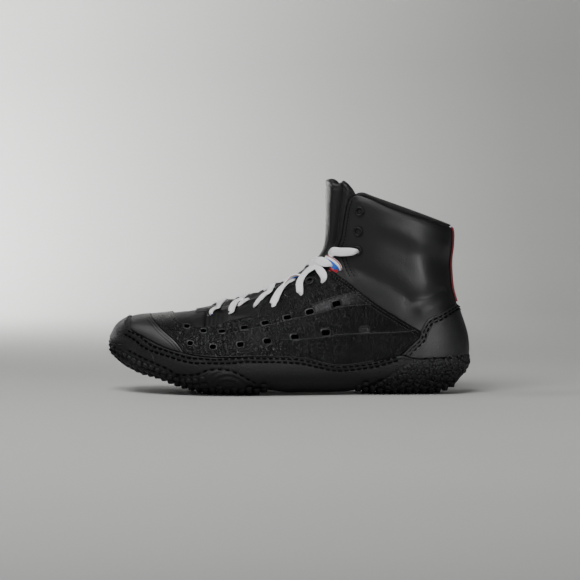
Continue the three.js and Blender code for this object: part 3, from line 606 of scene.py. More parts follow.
def lining_outside(row, angle, place):
    """Below the collar it keeps inside the leather; above its edge it rolls out over the thickness."""
    return -UPPER_WALL - GAP + 1.6 * MM * rise(above_line(place, COLLAR_LINE), 0.5 * MM, 1.5 * MM)


def lining_inside(row, angle, place):
    """The padded inside swells a little, most at mid-height."""
    over = above_line(place, COLLAR_LINE)
    return -UPPER_WALL - GAP - LINING_THICK - 1.6 * MM * bell(over + 14 * MM, 11 * MM)


# Knit: rows of small loops; the cloth paints shade into the low places between the rows.
knit, given, out = shared_effect(
    "knit_loops", [("Place", "Vector", None), ("Loops", "Float", 900.0)], ["Height"])
parts = node(knit, "SeparateXYZ", {0: given["Place"]})
wales = worked_out(knit, "MULTIPLY", parts.outputs["X"], given["Loops"])
lean = worked_out(knit, "MULTIPLY", parts.outputs["Z"], given["Loops"])
zig = worked_out(knit, "MULTIPLY", lean, 3.14159)
zag = worked_out(knit, "SINE", zig)
rows_up = worked_out(knit, "MULTIPLY_ADD", zag, 0.28, wales)
turned = worked_out(knit, "MULTIPLY", rows_up, 6.28318)
waves = worked_out(knit, "SINE", turned)
fuzz = node(knit, "TexNoise", {"Vector": given["Place"], "Scale": 1800.0, "Detail": 2.0})
loops = worked_out(knit, "MULTIPLY_ADD", fuzz.outputs["Fac"], 1.1, waves)
fill(knit, out, {"Height": loops})


def cloth(name, colour, loops, depth, sheen):
    """Knitted cloth in one colour, with soft sheen, and painted shade between its rows of loops."""
    made, tree, shader, place = material(name)
    height = node(tree, "Group", {"Place": place, "Loops": loops}, node_tree=knit).outputs["Height"]
    loop_shade = tuple(0.45 * c for c in colour)
    fill(tree, shader, {
        "Base Color": blend(tree, graded(tree, height, -1.0, 1.6), (*loop_shade, 1), (*colour, 1)),
        "Roughness": 0.92,
        "Normal": node(tree, "Bump", {"Height": height, "Strength": 1.0, "Distance": depth}),
        "Sheen Weight": sheen,
        "Sheen Roughness": 0.5,
    })
    return made


lining_finish = cloth("lining_knit", (0.012, 0.0115, 0.011), 620, 0.35 * MM, 0.06)
lining = piece("collar_lining_pad", *wall(
    lining_grid, lining_inside, lining_outside, free=("top", "base", "start"), rim=1.4 * MM),
    lining_finish, "lining_fabric", "collar_lining")

# Seams
# The panels are sewn down with thick black thread. One stitch is a short rounded length of thread, half
# sunk in the leather; each seam is a row of them, and every piece carries its own.
# The plain thread is darker than the black leather and almost without reflection: partly its black dye,
# partly painted shade of the grooves it lies in.
thread = leather("sewing_thread", (0.0007, 0.0007, 0.0008), 3000, 0.2, 0.05 * MM, 0.8, shine=0.06)
waxed_thread = leather("waxed_thread", (0.006, 0.006, 0.0065), 3000, 0.2, 0.04 * MM, 0.4)


def tube_faces(n, k, m):
    """The faces of n open tubes, each made of k rings of m points."""
    tube, i, j = np.meshgrid(np.arange(n), np.arange(k - 1), np.arange(m), indexing="ij")
    a = (tube * k * m + i * m + j).ravel()
    b = (tube * k * m + i * m + (j + 1) % m).ravel()
    return np.stack([a, b, b + m, a + m], -1)


def stitch_rows(name, seams, slot, long, pitch, thick, finish=thread):
    """Rows of stitches along side-view lines at a distance off the skin. Each stitch is a tube along the
    seam whose radius falls to nothing at both ends as a quarter ellipse."""
    places, ahead, out = [], [], []
    for line, lift in seams:
        path = trace(line)
        for angle in (path[:, 1], 2 * np.pi - path[:, 1]):
            flat, normal = skin(path[:, 0], angle), outward(path[:, 0], angle)
            track = flat + normal * (lift + folds(flat))[:, None]
            walked = distances(track)
            at = np.arange(pitch / 2, walked[-1] - long / 2, pitch)
            places.append(values_at(at, walked, track))
            ahead.append(values_at(at + long / 2, walked, track) - values_at(at - long / 2, walked, track))
            out.append(values_at(at, walked, normal))
    places, ahead, out = np.vstack(places), unit(np.vstack(ahead)), np.vstack(out)
    across = unit(np.cross(out, ahead))
    along = np.array([-1, -0.93, -0.7, 0.7, 0.93, 1]) * long / 2
    radius = np.array([0.0, 0.6, 1, 1, 0.6, 0.0]) * thick / 2
    turn = np.arange(6) * np.pi / 3
    sag = np.array([-0.35, -0.15, 0.1, 0.1, -0.15, -0.35]) * thick
    tube = (places[:, None, None] + ahead[:, None, None] * along[None, :, None, None]
            + across[:, None, None] * (radius[:, None] * np.cos(turn))[None, ..., None]
            + out[:, None, None] * (radius[:, None] * np.sin(turn) + sag[:, None])[None, ..., None])
    return piece(name, *weld(tube.reshape(-1, 3), tube_faces(*tube.shape[:3])), finish, slot)


# The toe cap
# A smooth, slightly shiny leather panel that wraps the toes. It is sewn down along its back edge with two
# close rows of stitches.
RAND_LINE = [
    [0.071, 0.41], [0.068, 0.38], [0.06, 0.36], [0.056, 0.342], [0.063, 0.321], [0.08, 0.303],
    [0.113, 0.276], [0.154, 0.242], [0.196, 0.218], [0.245, 0.199], [0.291, 0.191], [0.344, 0.19],
    [0.415, 0.193], [0.529, 0.184], [0.631, 0.147], [0.736, 0.167], [0.807, 0.197], [0.86, 0.18],
    [1.03, 0.197],
]
TOE_SEAM = [[0.115, 0.43], [0.12, 0.382], [0.155, 0.322], [0.189, 0.272], [0.212, 0.222], [0.2135, 0.197]]
above_rand = beside(RAND_LINE, GAP)


def between(line, start, end):
    """The stretch of a traced line between two shares of the length."""
    fine = smooth(line, 24)
    return trace(fine[(fine[:, 0] >= start) & (fine[:, 0] <= end)], 2)


def overlay_face(*marks):
    """The even outside of a panel, with soft grooves, each a line, a depth and a half width."""
    def outside(row, angle, place):
        lift = np.full(row.shape, GAP + OVERLAY)
        for line, depth, width in marks:
            lift -= depth * by_line(place, line, width)
        return lift
    return outside


toe_leather = leather("toe_leather", (0.0045, 0.0045, 0.005), 1700, 0.4, 0.04 * MM, 0.5,
                      worn=0.2, swell=1.5)
toe_back = trace(beside(TOE_SEAM, -GAP))
toe_front = trace([p for p in smooth(above_rand, 24) if p[0] <= 0.2095], 2)
toe_seams = [beside(TOE_SEAM[1:], -2.2 * MM), beside(TOE_SEAM[1:], -4.2 * MM)]
toe_grid = ruled([(toe_back, toe_front)], 1.0 * MM, end=NEAR_EDGE, base=NEAR_EDGE)
piece("toe_cap_panel", *wall(
    toe_grid, level(GAP), overlay_face(*((line, 0.07 * MM, 0.6 * MM) for line in toe_seams)),
    free=("top", "base", "end")), toe_leather, "toe_leather", "toe_cap")

# The quarters
# One pebbled leather panel on each side, joined over the toes, from the toe cap to the heel. Rows of
# punched slots and pressed ledges run along it, and double seams hold its facings and its slanting edge.
VAMP_EDGE = [
    [0.177, 0.43], [0.179, 0.397], [0.189, 0.375], [0.214, 0.344], [0.272, 0.335], [0.335, 0.362],
    [0.397, 0.387],
]
FACING_FRONT = [[0.397, 0.387], [0.411, 0.4], [0.417, 0.434], [0.425, 0.463], [0.437, 0.489]]
SHAFT_SEAM = [[0.612, 0.628], [0.616, 0.619], [0.666, 0.555], [0.73, 0.465], [0.788, 0.397], [0.858, 0.319]]
COUNTER_EDGE = [
    [1.03, 0.49], [0.962, 0.45], [0.907, 0.397], [0.879, 0.372], [0.861, 0.317], [0.856, 0.284],
    [0.832, 0.242], [0.807, 0.197],
]
VENTS_HIGH = [
    [0.222, 0.335], [0.268, 0.315], [0.318, 0.314], [0.379, 0.333], [0.436, 0.356], [0.496, 0.382],
    [0.557, 0.409], [0.63, 0.447],
]
VENTS_LOW = [[0.232, 0.257], [0.294, 0.241], [0.368, 0.252], [0.441, 0.269], [0.516, 0.288], [0.6, 0.309]]
PRESSED = [0.706, 0.323]
LACE_HOLES = [[0.286, 0.402], [0.341, 0.414], [0.407, 0.434], [0.457, 0.454], [0.531, 0.511],
              [0.593, 0.571]]
QUARTER_EYELET = [0.558, 0.569]
BAND_TOP = [[0.562, 0.442], [0.614, 0.475], [0.683, 0.509]]
BAND_FOOT = [[0.561, 0.402], [0.628, 0.434], [0.662, 0.447], [0.729, 0.458]]
LOWER_LEDGE = [[0.476, 0.277], [0.542, 0.278], [0.614, 0.292], [0.638, 0.3], [0.787, 0.312], [0.852, 0.322]]
UPPER_LEDGE = [
    [0.24, 0.318], [0.29, 0.31], [0.347, 0.317], [0.408, 0.338], [0.466, 0.362], [0.527, 0.39],
    [0.561, 0.402], [0.628, 0.434], [0.662, 0.447], [0.729, 0.458],
]


def slot_frame(centre, tilt, inner):
    """The middle of a slot on the skin, and the ways along it, up and out of the leather there."""
    row, angle, _ = find([centre])
    angle = 2 * np.pi - angle if inner else angle
    middle, out = skin(row, angle)[0], outward(row, angle)[0]
    along = np.cross([0, 0, 1], out)
    along *= np.sign(along[0]) / np.linalg.norm(along)
    up = np.cross(along, out)
    up *= np.sign(up[2])
    return middle, along * np.cos(tilt) + up * np.sin(tilt), up * np.cos(tilt) - along * np.sin(tilt), out


CORNER = 1.4 * MM


def slot_depth(place, centre, tilt, size, inner):
    """How far points are from the edge of a slot with round corners, minus inside, along the leather."""
    middle, along, up, out = slot_frame(centre, tilt, inner)
    offset = place - middle
    corner = min(CORNER, size[1] / 2 - 0.1 * MM) if size[0] > size[1] else size[1] / 2
    half = np.array(size) / 2
    box = np.stack([np.abs(offset @ along) - half[0] + corner, np.abs(offset @ up) - half[1] + corner], -1)
    far = np.linalg.norm(np.maximum(box, 0), axis=-1) + np.minimum(box.max(-1), 0) - corner
    return np.where(np.abs(offset @ out) < 12 * MM, far, 1.0)


def slots():
    """Every slot as its centre, tilt, size and whether it is punched through; each row leans with its own
    line and grows to the back, where the last one is only pressed in."""
    for vents in (VENTS_HIGH, VENTS_LOW):
        slopes = np.gradient(np.array(vents) * [LENGTH, COLLAR_HEIGHT], axis=0)
        for k, centre in enumerate(vents):
            share = k / (len(vents) - 1)
            size = (4.3 + 2.2 * share) * MM, (3.3 + 1.1 * share) * MM
            yield centre, np.arctan2(slopes[k, 1], slopes[k, 0]), size, True
    yield PRESSED, 0.08, (6.8 * MM, 3.9 * MM), False


def on_inner_side(place):
    """Whether a grid of places lies on the inner side, by the one in its middle."""
    return place[place.shape[0] // 2, place.shape[1] // 2, 1] > 0


def quarters_outside(row, angle, place):
    """The leather face with room punched out for its slots and lace holes."""
    lift = quarters_face(row, angle, place)
    inner = on_inner_side(place)
    for centre, tilt, size, punched in slots():
        far = slot_depth(place, centre, tilt, size, inner)
        lift -= (1.25 if punched else 0.7) * MM * (1 - rise(far, 0.3 * MM, 1.3 * MM))
    for centre in [*LACE_HOLES[2:], QUARTER_EYELET]:
        far = slot_depth(place, centre, 0.0, (4.4 * MM, 4.4 * MM), inner)
        lift -= 1.3 * MM * (1 - rise(far, -0.4 * MM, 0.3 * MM))
    return np.maximum(lift, GAP + 0.05 * MM)


def quarters_face(row, angle, place):
    """The leather without its holes: rolled facing edges, a raised band, pressed ledges and grooves."""
    lift = np.full(row.shape, GAP + OVERLAY)
    inner = on_inner_side(place)
    for wide in (8.4 * MM, 13.5 * MM):
        ring = slot_depth(place, QUARTER_EYELET, 0.0, (wide, wide), inner)
        lift -= 0.5 * MM * bell(ring, 0.8 * MM) * (place[..., 2] < 0.64 * COLLAR_HEIGHT)
    lift += 1.2 * MM * by_line(place, beside(facing_line, -0.8 * MM), 1.1 * MM)
    lift += 0.35 * MM * by_line(place, beside(SHAFT_SEAM[1:], -0.9 * MM), 1.2 * MM)
    lift += 0.3 * MM * by_line(place, beside(VAMP_EDGE[2:], -0.9 * MM), 0.9 * MM)
    x, under_top, over_foot = place[..., 0], -above_line(place, BAND_TOP), above_line(place, BAND_FOOT)
    inside_ends = (rise(x, band_front - 3 * MM, band_front + 8 * MM)
                   * (1 - rise(x, band_back - 8 * MM, band_back)))
    slant = 0.5 * MM + 0.8 * MM * rise(under_top, 0.0, 6 * MM)
    lift += slant * rise(under_top, -1 * MM, 1 * MM) * rise(over_foot, -0.6 * MM, 0.6 * MM) * inside_ends
    x, _ = side_view(place)
    for ledge, start in ((LOWER_LEDGE, 0.49), (UPPER_LEDGE, 0.26)):
        over, end = above_line(place, ledge), ledge[-1][0]
        within = rise(x, start - 0.02, start + 0.12) * (1 - rise(x, end - 0.015, end + 0.01))
        step = 0.65 * MM * rise(over, -1 * MM, 1 * MM) * (1 - rise(over, 3 * MM, 9 * MM))
        lift += within * (0.2 * MM * bell(over + 1.1 * MM, 1.1 * MM) - step)
    for line, depth, width in QUARTER_GROOVES:
        lift -= depth * by_line(place, line, width)
    return lift


facing_edge = smooth(THROAT_LINE, 24)
facing_edge = facing_edge[(facing_edge[:, 0] > 0.441) & (facing_edge[:, 0] < 0.609)]
facing_line = FACING_FRONT[1:] + facing_edge[::12].tolist()
band_front, band_back = metres([BAND_TOP[0], BAND_FOOT[-1]])[:, 0]
quarter_seams = [(beside(line, -distance), 1.5 * MM) for line, distance in (
    (SHAFT_SEAM[1:], 2.0 * MM), (SHAFT_SEAM[1:], 4.4 * MM),
    (facing_line, 2.0 * MM), (facing_line, 4.0 * MM))]
QUARTER_GROOVES = [(line, 0.6 * MM, 0.9 * MM) for line, _ in quarter_seams] + [
    (beside(VAMP_EDGE[2:], -2.4 * MM), 0.25 * MM, 0.6 * MM),
    (beside(TOE_SEAM[1:-1], 1.8 * MM), 0.15 * MM, 0.6 * MM),
]
grain_leather = leather("grain_leather", (0.0030, 0.0030, 0.0033), 600, 0.8, 0.62 * MM, 0.34,
                        stretch=(1.1, 1.0, 0.6), worn=0.3, swell=0.6, creases=0.8, shine=0.38)
quarter_grid = ruled([
    (trace(VAMP_EDGE), np.vstack([trace(TOE_SEAM), between(above_rand, 0.2165, 0.33)])),
    (trace(FACING_FRONT), between(above_rand, 0.33, 0.39)),
    (trace(facing_edge, 2), between(above_rand, 0.39, 0.585)),
    (trace(SHAFT_SEAM), np.vstack([between(above_rand, 0.585, 0.804),
                                   trace(beside(COUNTER_EDGE[4:], -GAP))[::-1]])),
], 1.06 * MM, end=NEAR_EDGE, base=NEAR_EDGE)
quarters = piece("quarter_panels", *wall(
    quarter_grid, level(GAP), quarters_outside, free=("top", "base", "end")),
    grain_leather, "grain_leather", "quarters")
# The raised band is painted paler in front, by an attribute of the panel's points: a painted highlight for
# its sheen.
spots = np.empty(3 * len(quarters.data.vertices), np.float32)
quarters.data.vertices.foreach_get("co", spots)
spots = spots.reshape(-1, 3)
band_highlight_share = (rise(-above_line(spots, BAND_TOP), -0.4 * MM, 0.6 * MM)
           * rise(above_line(spots, BAND_FOOT), -0.4 * MM, 0.6 * MM)
           * rise(spots[:, 0], band_front, band_front + 2 * MM)
           * (1 - rise(spots[:, 0], band_front + 14 * MM, band_back)))
quarters.data.attributes.new("band", "FLOAT", "POINT").data.foreach_set("value", band_highlight_share.astype(np.float32))
tree = grain_leather.node_tree
shader = tree.nodes["Principled BSDF"]
painted_band_highlight = node(tree, "Attribute", attribute_name="band").outputs["Fac"]
fill(tree, shader, {"Base Color": blend(tree, painted_band_highlight, shader.inputs["Base Color"].links[0].from_socket,
                                        (0.046, 0.046, 0.048, 1))})
# The grain is coarse and shiny over the ball, where the leather bends, and finer and duller behind.
change_along(grain_leather, "Distance", 0.0, 0.06, 0.6 * MM, 0.25 * MM, of="Bump")
change_along(grain_leather, "Specular IOR Level", -0.02, 0.05, 0.4, 0.13)
# Every slot has a pressed rim round a cup or a shallow groove, swept round its edge and closed by a fan. In
# a punched slot the slot attribute paints the cup's inner wall and fan near black, as painted shade of the
# open hole.
RIM_OUT = np.array([1.7, 1.25, 0.75, 0.35, 0.05, -0.12, -0.24, -0.32]) * MM
RIM_UP = np.array([-0.25, 0.03, 0.2, 0.3, 0.2, -0.08, -0.5, -0.95]) * MM
GROOVE_OUT = np.array([1.7, 1.25, 0.8, 0.45, 0.15, -0.25, -0.6, -1.0]) * MM
GROOVE_UP = np.array([-0.25, 0.02, 0.13, 0.08, -0.28, -0.3, -0.1, -0.05]) * MM
slot_rims = leather("slot_rims", (0.0038, 0.0038, 0.004), 1500, 0.4, 0.05 * MM, 0.42,
                    shine=0.3, hollow="slot")
quarter_turn = np.linspace(0, np.pi / 2, 7)
corner_turn = np.concatenate([quarter_turn + k * np.pi / 2 for k in range(4)])
corner_x = np.repeat([1, -1, -1, 1], 7)
corner_y = np.repeat([1, 1, -1, -1], 7)
rim_points, rim_faces, rim_edge = [], [], []
for inner in (False, True):
    for centre, tilt, size, punched in slots():
        rim_out, rim_up = (RIM_OUT, RIM_UP) if punched else (GROOVE_OUT, GROOVE_UP)
        middle, along, up, out = slot_frame(centre, tilt, inner)
        corner = min(CORNER, size[1] / 2 - 0.1 * MM)
        reach = corner + rim_out[:, None]
        a = corner_x * (size[0] / 2 - corner) + reach * np.cos(corner_turn)
        b = corner_y * (size[1] / 2 - corner) + reach * np.sin(corner_turn)
        near = middle + a[..., None] * along + b[..., None] * up
        row, angle, _ = find(np.stack(side_view(near), -1))
        row, angle = row.reshape(a.shape), angle.reshape(a.shape)
        angle = 2 * np.pi - angle if inner else angle
        flat = skin(row, angle)
        lift = np.maximum(quarters_face(row, angle, flat) + rim_up[:, None], GAP + 0.25 * MM) + folds(flat)
        rings = flat + outward(row, angle) * lift[..., None]
        first = sum(len(p) for p in rim_points)
        k, m = a.shape
        around = np.arange(m)
        fan = (k - 1) * m + np.stack([around, (around + 1) % m, np.full(m, m)], -1)
        for faces in (tube_faces(1, k, m), fan):
            rim_faces += (first + (faces[:, ::-1] if inner else faces)).tolist()
        rim_points.append(np.vstack([rings.reshape(-1, 3), rings[-1].mean(0)]))
        # Minus distances mark the painted shade inside a punched slot; grooves get none.
        rim_edge += np.repeat(rim_out if punched else abs(rim_out), m).tolist()
        rim_edge += [-1 * MM if punched else 1 * MM]
rims = piece("slot_rims", np.vstack(rim_points), rim_faces, slot_rims, "grain_leather")
rims.data.attributes.new("slot", "FLOAT", "POINT").data.foreach_set("value", np.array(rim_edge, np.float32))
# The turned edges that stand along the ledges and the band are thin rolls of the same leather.
stitch_rows("pressed_edges", [(LOWER_LEDGE, 1.45 * MM), (beside(UPPER_LEDGE[2:], -1.3 * MM), 1.5 * MM),
                              (BAND_TOP, 1.6 * MM), (beside(RAND_LINE[9:16], 1.0 * MM), 1.7 * MM)],
            "grain_leather", 3.2 * MM, 2.6 * MM, 0.8 * MM, finish=toe_leather)
stitch_rows("quarter_seams", quarter_seams, "grain_leather", 1.9 * MM, 2.5 * MM, 0.8 * MM,
            finish=waxed_thread)
stitch_rows("toe_seams", [(line, 1.5 * MM) for line in toe_seams], "toe_leather",
            1.5 * MM, 2.1 * MM, 0.5 * MM)
stitch_rows("strap_seams", [(STRAP_SEAM, -0.3 * MM), (beside(STRAP_SEAM, 2.8 * MM), -0.3 * MM),
                            (beside(SHAFT_FRONT, -2.4 * MM), -0.2 * MM)], "smooth_leather",
            2.0 * MM, 2.7 * MM, 0.7 * MM)

# The heel counter
# A finely textured rubbery cup that stiffens the heel. It lies over the back of the quarters and is sewn
# down along its top edge with two rows of long stitches.
counter_finish = leather("counter_rubber", (0.0055, 0.0055, 0.006), 1500, 0.1, 0.12 * MM, 0.46,
                         worn=0.2, swell=0.4)
counter_top = trace(COUNTER_EDGE)
counter_foot = between(above_rand, 0.811, 1.03)[::-1]
counter_seams = [(beside(COUNTER_EDGE, distance), 1.5 * MM) for distance in (1.9 * MM, 4.4 * MM)]
counter_grid = ruled([(counter_top, counter_foot)], 1.0 * MM, end=NEAR_EDGE, base=NEAR_EDGE)


def counter_outside(row, angle, place):
    """A thick rim beside the top edge, two stitch channels in it, and a slow swell down to the sole."""
    lift = GAP + OVERLAY + 0.55 * MM * by_line(place, beside(COUNTER_EDGE, 1.0 * MM), 1.3 * MM)
    for line, _ in counter_seams:
        lift = lift - 0.6 * MM * by_line(place, line, 0.8 * MM)
    _, z = side_view(place)
    return lift + 0.9 * MM * (1 - rise(z, 0.18, 0.34))


piece("heel_counter_cup", *wall(
    counter_grid, level(GAP), counter_outside, free=("top", "base", "end")),
    counter_finish, "counter_rubber", "heel_counter")
stitch_rows("counter_seams", counter_seams, "counter_rubber", 3.4 * MM, 4.9 * MM, 1.4 * MM)

# The back strip
# Woven webbing tape sewn down the back of the shaft, from the collar to the heel cup. Its three stripes are
# red on the outer side, white in the middle and blue on the inner side.
STRIP_WIDTH, STRIP_THICK = 17 * MM, 1.1 * MM
strip_top = find([[0.951, 0.828]])[0][0]
strip_foot = find([[0.968, 0.444]])[0][0]
up_rows = np.linspace(strip_foot, strip_top, 90)[:, None]
half_turn = np.linspace(0, 1, 13)[None, :]
side_reach = skin(up_rows, np.array([[np.pi - 0.3]]))[..., 1] - skin(up_rows, np.array([[np.pi]]))[..., 1]
strip_turn = 0.3 * np.abs((STRIP_WIDTH / 2) / side_reach) ** 1.1
strip_grid = np.stack(np.broadcast_arrays(up_rows, np.pi - strip_turn * half_turn[:, ::-1]), -1)


def striped(tree, share, *stripes):
    """Stripes of colour, each with the share that it starts at."""
    made = node(tree, "ValToRGB", {0: share})
    ramp = made.color_ramp
    ramp.interpolation = "CONSTANT"
    ramp.elements[0].color = stripes[0][1]
    ramp.elements[1].position, ramp.elements[1].color = stripes[1]
    for start, colour in stripes[2:]:
        ramp.elements.new(start).color = colour
    return made


webbing, tree, shader, place = material("webbing_tricolour")
from_middle = worked_out(tree, "ADD", node(tree, "SeparateXYZ", {0: place}).outputs["Y"], -MIDDLE_Y)
width_share = graded(tree, from_middle, -STRIP_WIDTH / 2, STRIP_WIDTH / 2)
weave = node(tree, "TexWave", {"Vector": place, "Scale": 420.0, "Distortion": 1.0}, bands_direction="Z")
weft = node(tree, "TexWave", {"Vector": place, "Scale": 300.0, "Distortion": 1.0}, bands_direction="Y")
crossed = worked_out(tree, "MULTIPLY", weave.outputs["Fac"], weft.outputs["Fac"])
RED, WHITE, BLUE = (0.17, 0.003, 0.010, 1), (0.66, 0.60, 0.60, 1), (0.008, 0.06, 0.30, 1)
fill(tree, shader, {
    "Base Color": striped(tree, width_share, (0.0, RED), (0.26, WHITE), (0.62, BLUE)),
    "Roughness": 0.85,
    "Normal": node(tree, "Bump", {"Height": crossed, "Distance": 0.25 * MM}),
    "Sheen Weight": 0.2,
})
piece("back_strip_webbing", *wall(
    strip_grid, level(GAP), level(GAP + STRIP_THICK), free=("top", "start", "end"), rim=0.5 * MM),
    webbing, "webbing", "back_strip")

# The sole
# One moulded rubber sole that wraps the foot. A thin rand is turned up over the upper and sewn through
# with thick thread; below it the tread is thicker, smooth in the waist and studded in front and behind.
OUTSOLE_THICK, RAND_THICK, RAND_STEP = 2.9 * MM, 1.8 * MM, 0.9 * MM
TREAD_LINE = [
    [-0.021, 0.292], [0.062, 0.217], [0.104, 0.182], [0.138, 0.157], [0.173, 0.132], [0.193, 0.109],
    [0.228, 0.103], [0.258, 0.109], [0.283, 0.125], [0.327, 0.128], [0.362, 0.109], [0.396, 0.078],
    [0.421, 0.059], [0.454, 0.017], [0.5, -0.01], [0.656, -0.008], [0.697, 0.042], [0.763, 0.084],
    [0.818, 0.147], [0.86, 0.18], [1.03, 0.197],
]
RAND_SEAMS = [
    [[0.061, 0.311], [0.098, 0.284], [0.128, 0.246], [0.163, 0.226], [0.199, 0.205], [0.231, 0.190],
     [0.266, 0.186], [0.302, 0.182], [0.380, 0.189], [0.418, 0.187], [0.476, 0.185], [0.528, 0.179],
     [0.580, 0.158], [0.631, 0.142], [0.683, 0.148], [0.735, 0.160], [0.769, 0.177], [0.805, 0.195]],
    [[0.052, 0.296], [0.078, 0.275], [0.105, 0.240], [0.139, 0.215], [0.176, 0.195], [0.211, 0.176],
     [0.245, 0.165], [0.281, 0.165], [0.345, 0.166], [0.380, 0.173], [0.418, 0.171], [0.476, 0.169],
     [0.528, 0.162], [0.580, 0.142], [0.631, 0.125], [0.683, 0.131], [0.735, 0.144], [0.769, 0.160],
     [0.805, 0.179]],
]
STEP_SEAM = [
    [0.062, 0.224], [0.104, 0.189], [0.138, 0.164], [0.173, 0.139], [0.193, 0.117], [0.228, 0.111],
    [0.258, 0.117], [0.283, 0.133], [0.327, 0.136], [0.362, 0.117], [0.396, 0.086], [0.421, 0.067],
]
HEEL_SEAM = [[0.859, 0.183], [0.887, 0.187], [0.932, 0.184], [0.966, 0.187], [1.03, 0.2]]
FAN_CENTRE = [0.333, -0.02]


def rubber_outside(row, angle, place):
    """Thin on the side, thicker underfoot and in the waist; a step at the tread line, and more rubber below
    it; ripples fan out over the ball as a cosine of the distance from a point; grooves hold the thread."""
    down = rise(-outward(row, angle)[..., 2], 0.6, 0.97)
    x, z = side_view(place)
    waist = rise(x, 0.44, 0.5) - rise(x, 0.64, 0.7)
    heel = rise(x, 0.82, 0.88)
    foot = OUTSOLE_THICK + 1.8 * MM * waist
    lift = GAP + RAND_THICK + (foot - RAND_THICK) * down
    over = above_line(place, TREAD_LINE)
    low = 1 - rise(over, -0.6 * MM - 5 * MM * heel, 0.5 * MM)
    tread = 1 - rise(over, -5.5 * MM, -0.8 * MM)
    front = 1 - rise(x, 0.03, 0.1)
    lift += RAND_STEP * low * (1 - 0.7 * down) * (1 - 0.8 * front) + 1.7 * MM * tread * (0.3 + 0.7 * down)
    lift += (3.3 * MM * (1 - rise(x, 0.0, 0.17))
             * rise(-over, -1 * MM - 5 * MM * front, 4 * MM + 3 * MM * front))
    lift += 1.5 * MM * bell(x - 0.066, 0.045) * rise(-over, 0.0, 5 * MM)
    lift -= 0.45 * MM * bell(over - 0.9 * MM, 0.7 * MM) * (1 - waist) * (1 - heel)
    from_fan = np.hypot((x - FAN_CENTRE[0]) * LENGTH, (z - FAN_CENTRE[1]) * COLLAR_HEIGHT)
    fan = rise(x, 0.24, 0.28) * (1 - rise(x, 0.42, 0.47)) * low * (1 - down)
    lift += 0.5 * MM * np.cos(2 * np.pi * from_fan / (3.2 * MM)) * fan
    toe = low * (1 - rise(x, 0.2, 0.27)) * (1 - down)
    lift += 0.25 * MM * np.cos(2 * np.pi * over / (3.2 * MM)) * toe
    for line in RAND_SEAMS:
        lift -= 0.55 * MM * by_line(place, line, 1.0 * MM)
    lift -= 0.4 * MM * by_line(place, HEEL_SEAM, 0.9 * MM)
    lift += (0.6 * MM * by_line(place, beside(RAND_LINE, -0.9 * MM), 0.9 * MM)) * (1 - heel)
    return lift


rubber, tree, shader, place = material("sole_rubber")
specks = node(tree, "TexNoise", {"Vector": place, "Scale": 620.0, "Detail": 4.0, "Roughness": 0.65})
clouds = node(tree, "TexNoise", {"Vector": place, "Scale": 45.0, "Detail": 4.0, "Roughness": 0.6})
axes = node(tree, "SeparateXYZ", {0: place})
# The toe's tip is worn rough and dull.
pits = graded(tree, axes.outputs["X"], -0.142, -0.128, 2.4 * MM, 0.7 * MM)
# Painted shade: the rubber reflects less towards the floor, so its low parts stay dark.
shade_near_floor = graded(tree, axes.outputs["Z"], 6 * MM, 26 * MM, 0.1, 0.36)
behind_tip = graded(tree, axes.outputs["X"], -0.142, -0.125, 0.35, 1.0)
fill(tree, shader, {
    "Base Color": blend(tree, clouds, (0.0045, 0.0045, 0.0052, 1), (0.010, 0.010, 0.0112, 1)),
    "Roughness": graded(tree, clouds, 0.0, 1.0, 0.42, 0.6),
    "Normal": node(tree, "Bump", {"Height": specks, "Distance": pits}),
    "Specular IOR Level": worked_out(tree, "MULTIPLY", shade_near_floor, behind_tip),
})

rand_line = trace(RAND_LINE)
sole_grid = ruled([
    (ridge_rows(0, rand_line[0, 0]), ridge_rows(0, rand_line[0, 0], np.pi)),
    (between(RAND_LINE, 0, 0.84), ridge_rows(rand_line[0, 0], 12.2, np.pi)),
    (between(RAND_LINE, 0.84, 1.03), ridge_rows(12.2, 14.3, np.pi)),
], 1.5 * MM)
piece("rubber_sole", *wall(sole_grid, level(GAP), rubber_outside), rubber, "sole_rubber", "outsole")
stitch_rows("rand_seams", [(RAND_SEAMS[0], 1.95 * MM), (RAND_SEAMS[1], 1.95 * MM)], "sole_rubber",
            3.9 * MM, 5.1 * MM, 1.5 * MM)
stitch_rows("step_seam", [(STEP_SEAM, 2.0 * MM)], "sole_rubber", 3.6 * MM, 6.2 * MM, 1.3 * MM)
stitch_rows("heel_seam", [(HEEL_SEAM, 2.2 * MM)], "sole_rubber", 3.2 * MM, 7.6 * MM, 1.3 * MM)


def studs(name, places, outs, sizes, heights, sink, turns, squareness=4.0):
    """Rubber studs: rings of a rounded square, full at the foot and drawn in round a flat tip."""
    ahead = unit(np.cross(outs, [0.0, 1.0, 0.12]))
    across = np.cross(outs, ahead)
    turn = np.arange(10) * 2 * np.pi / 10
    size = np.abs(np.cos(turn)) ** squareness + np.abs(np.sin(turn)) ** squareness
    square = 1 / size ** (1 / squareness)
    wide = np.array([1.0, 0.95, 0.82, 0.55, 0.0])
    high = np.array([0.0, 0.62, 0.9, 1.0, 1.0])
    radius = sizes[:, None, None] / 2 * wide[None, :, None] * square[None, None, :]
    spin = turn[None, :] + turns[:, None]
    lift = sink + (heights[:, None] - sink) * high[None, :]
    points = (places[:, None, None]
              + ahead[:, None, None] * (radius * np.cos(spin)[:, None])[..., None]
              + across[:, None, None] * (radius * np.sin(spin)[:, None])[..., None]
              + outs[:, None, None] * lift[..., None, None])
    points[..., 2] = np.maximum(points[..., 2], 0)
    points, faces = weld(points.reshape(-1, 3), tube_faces(*points.shape[:3]))
    return piece(name, points, faces, rubber, "sole_rubber")


# Studs stand in rows below the tread line at the toe, and small uneven lumps cover the heel.
chance = np.random.default_rng(7)


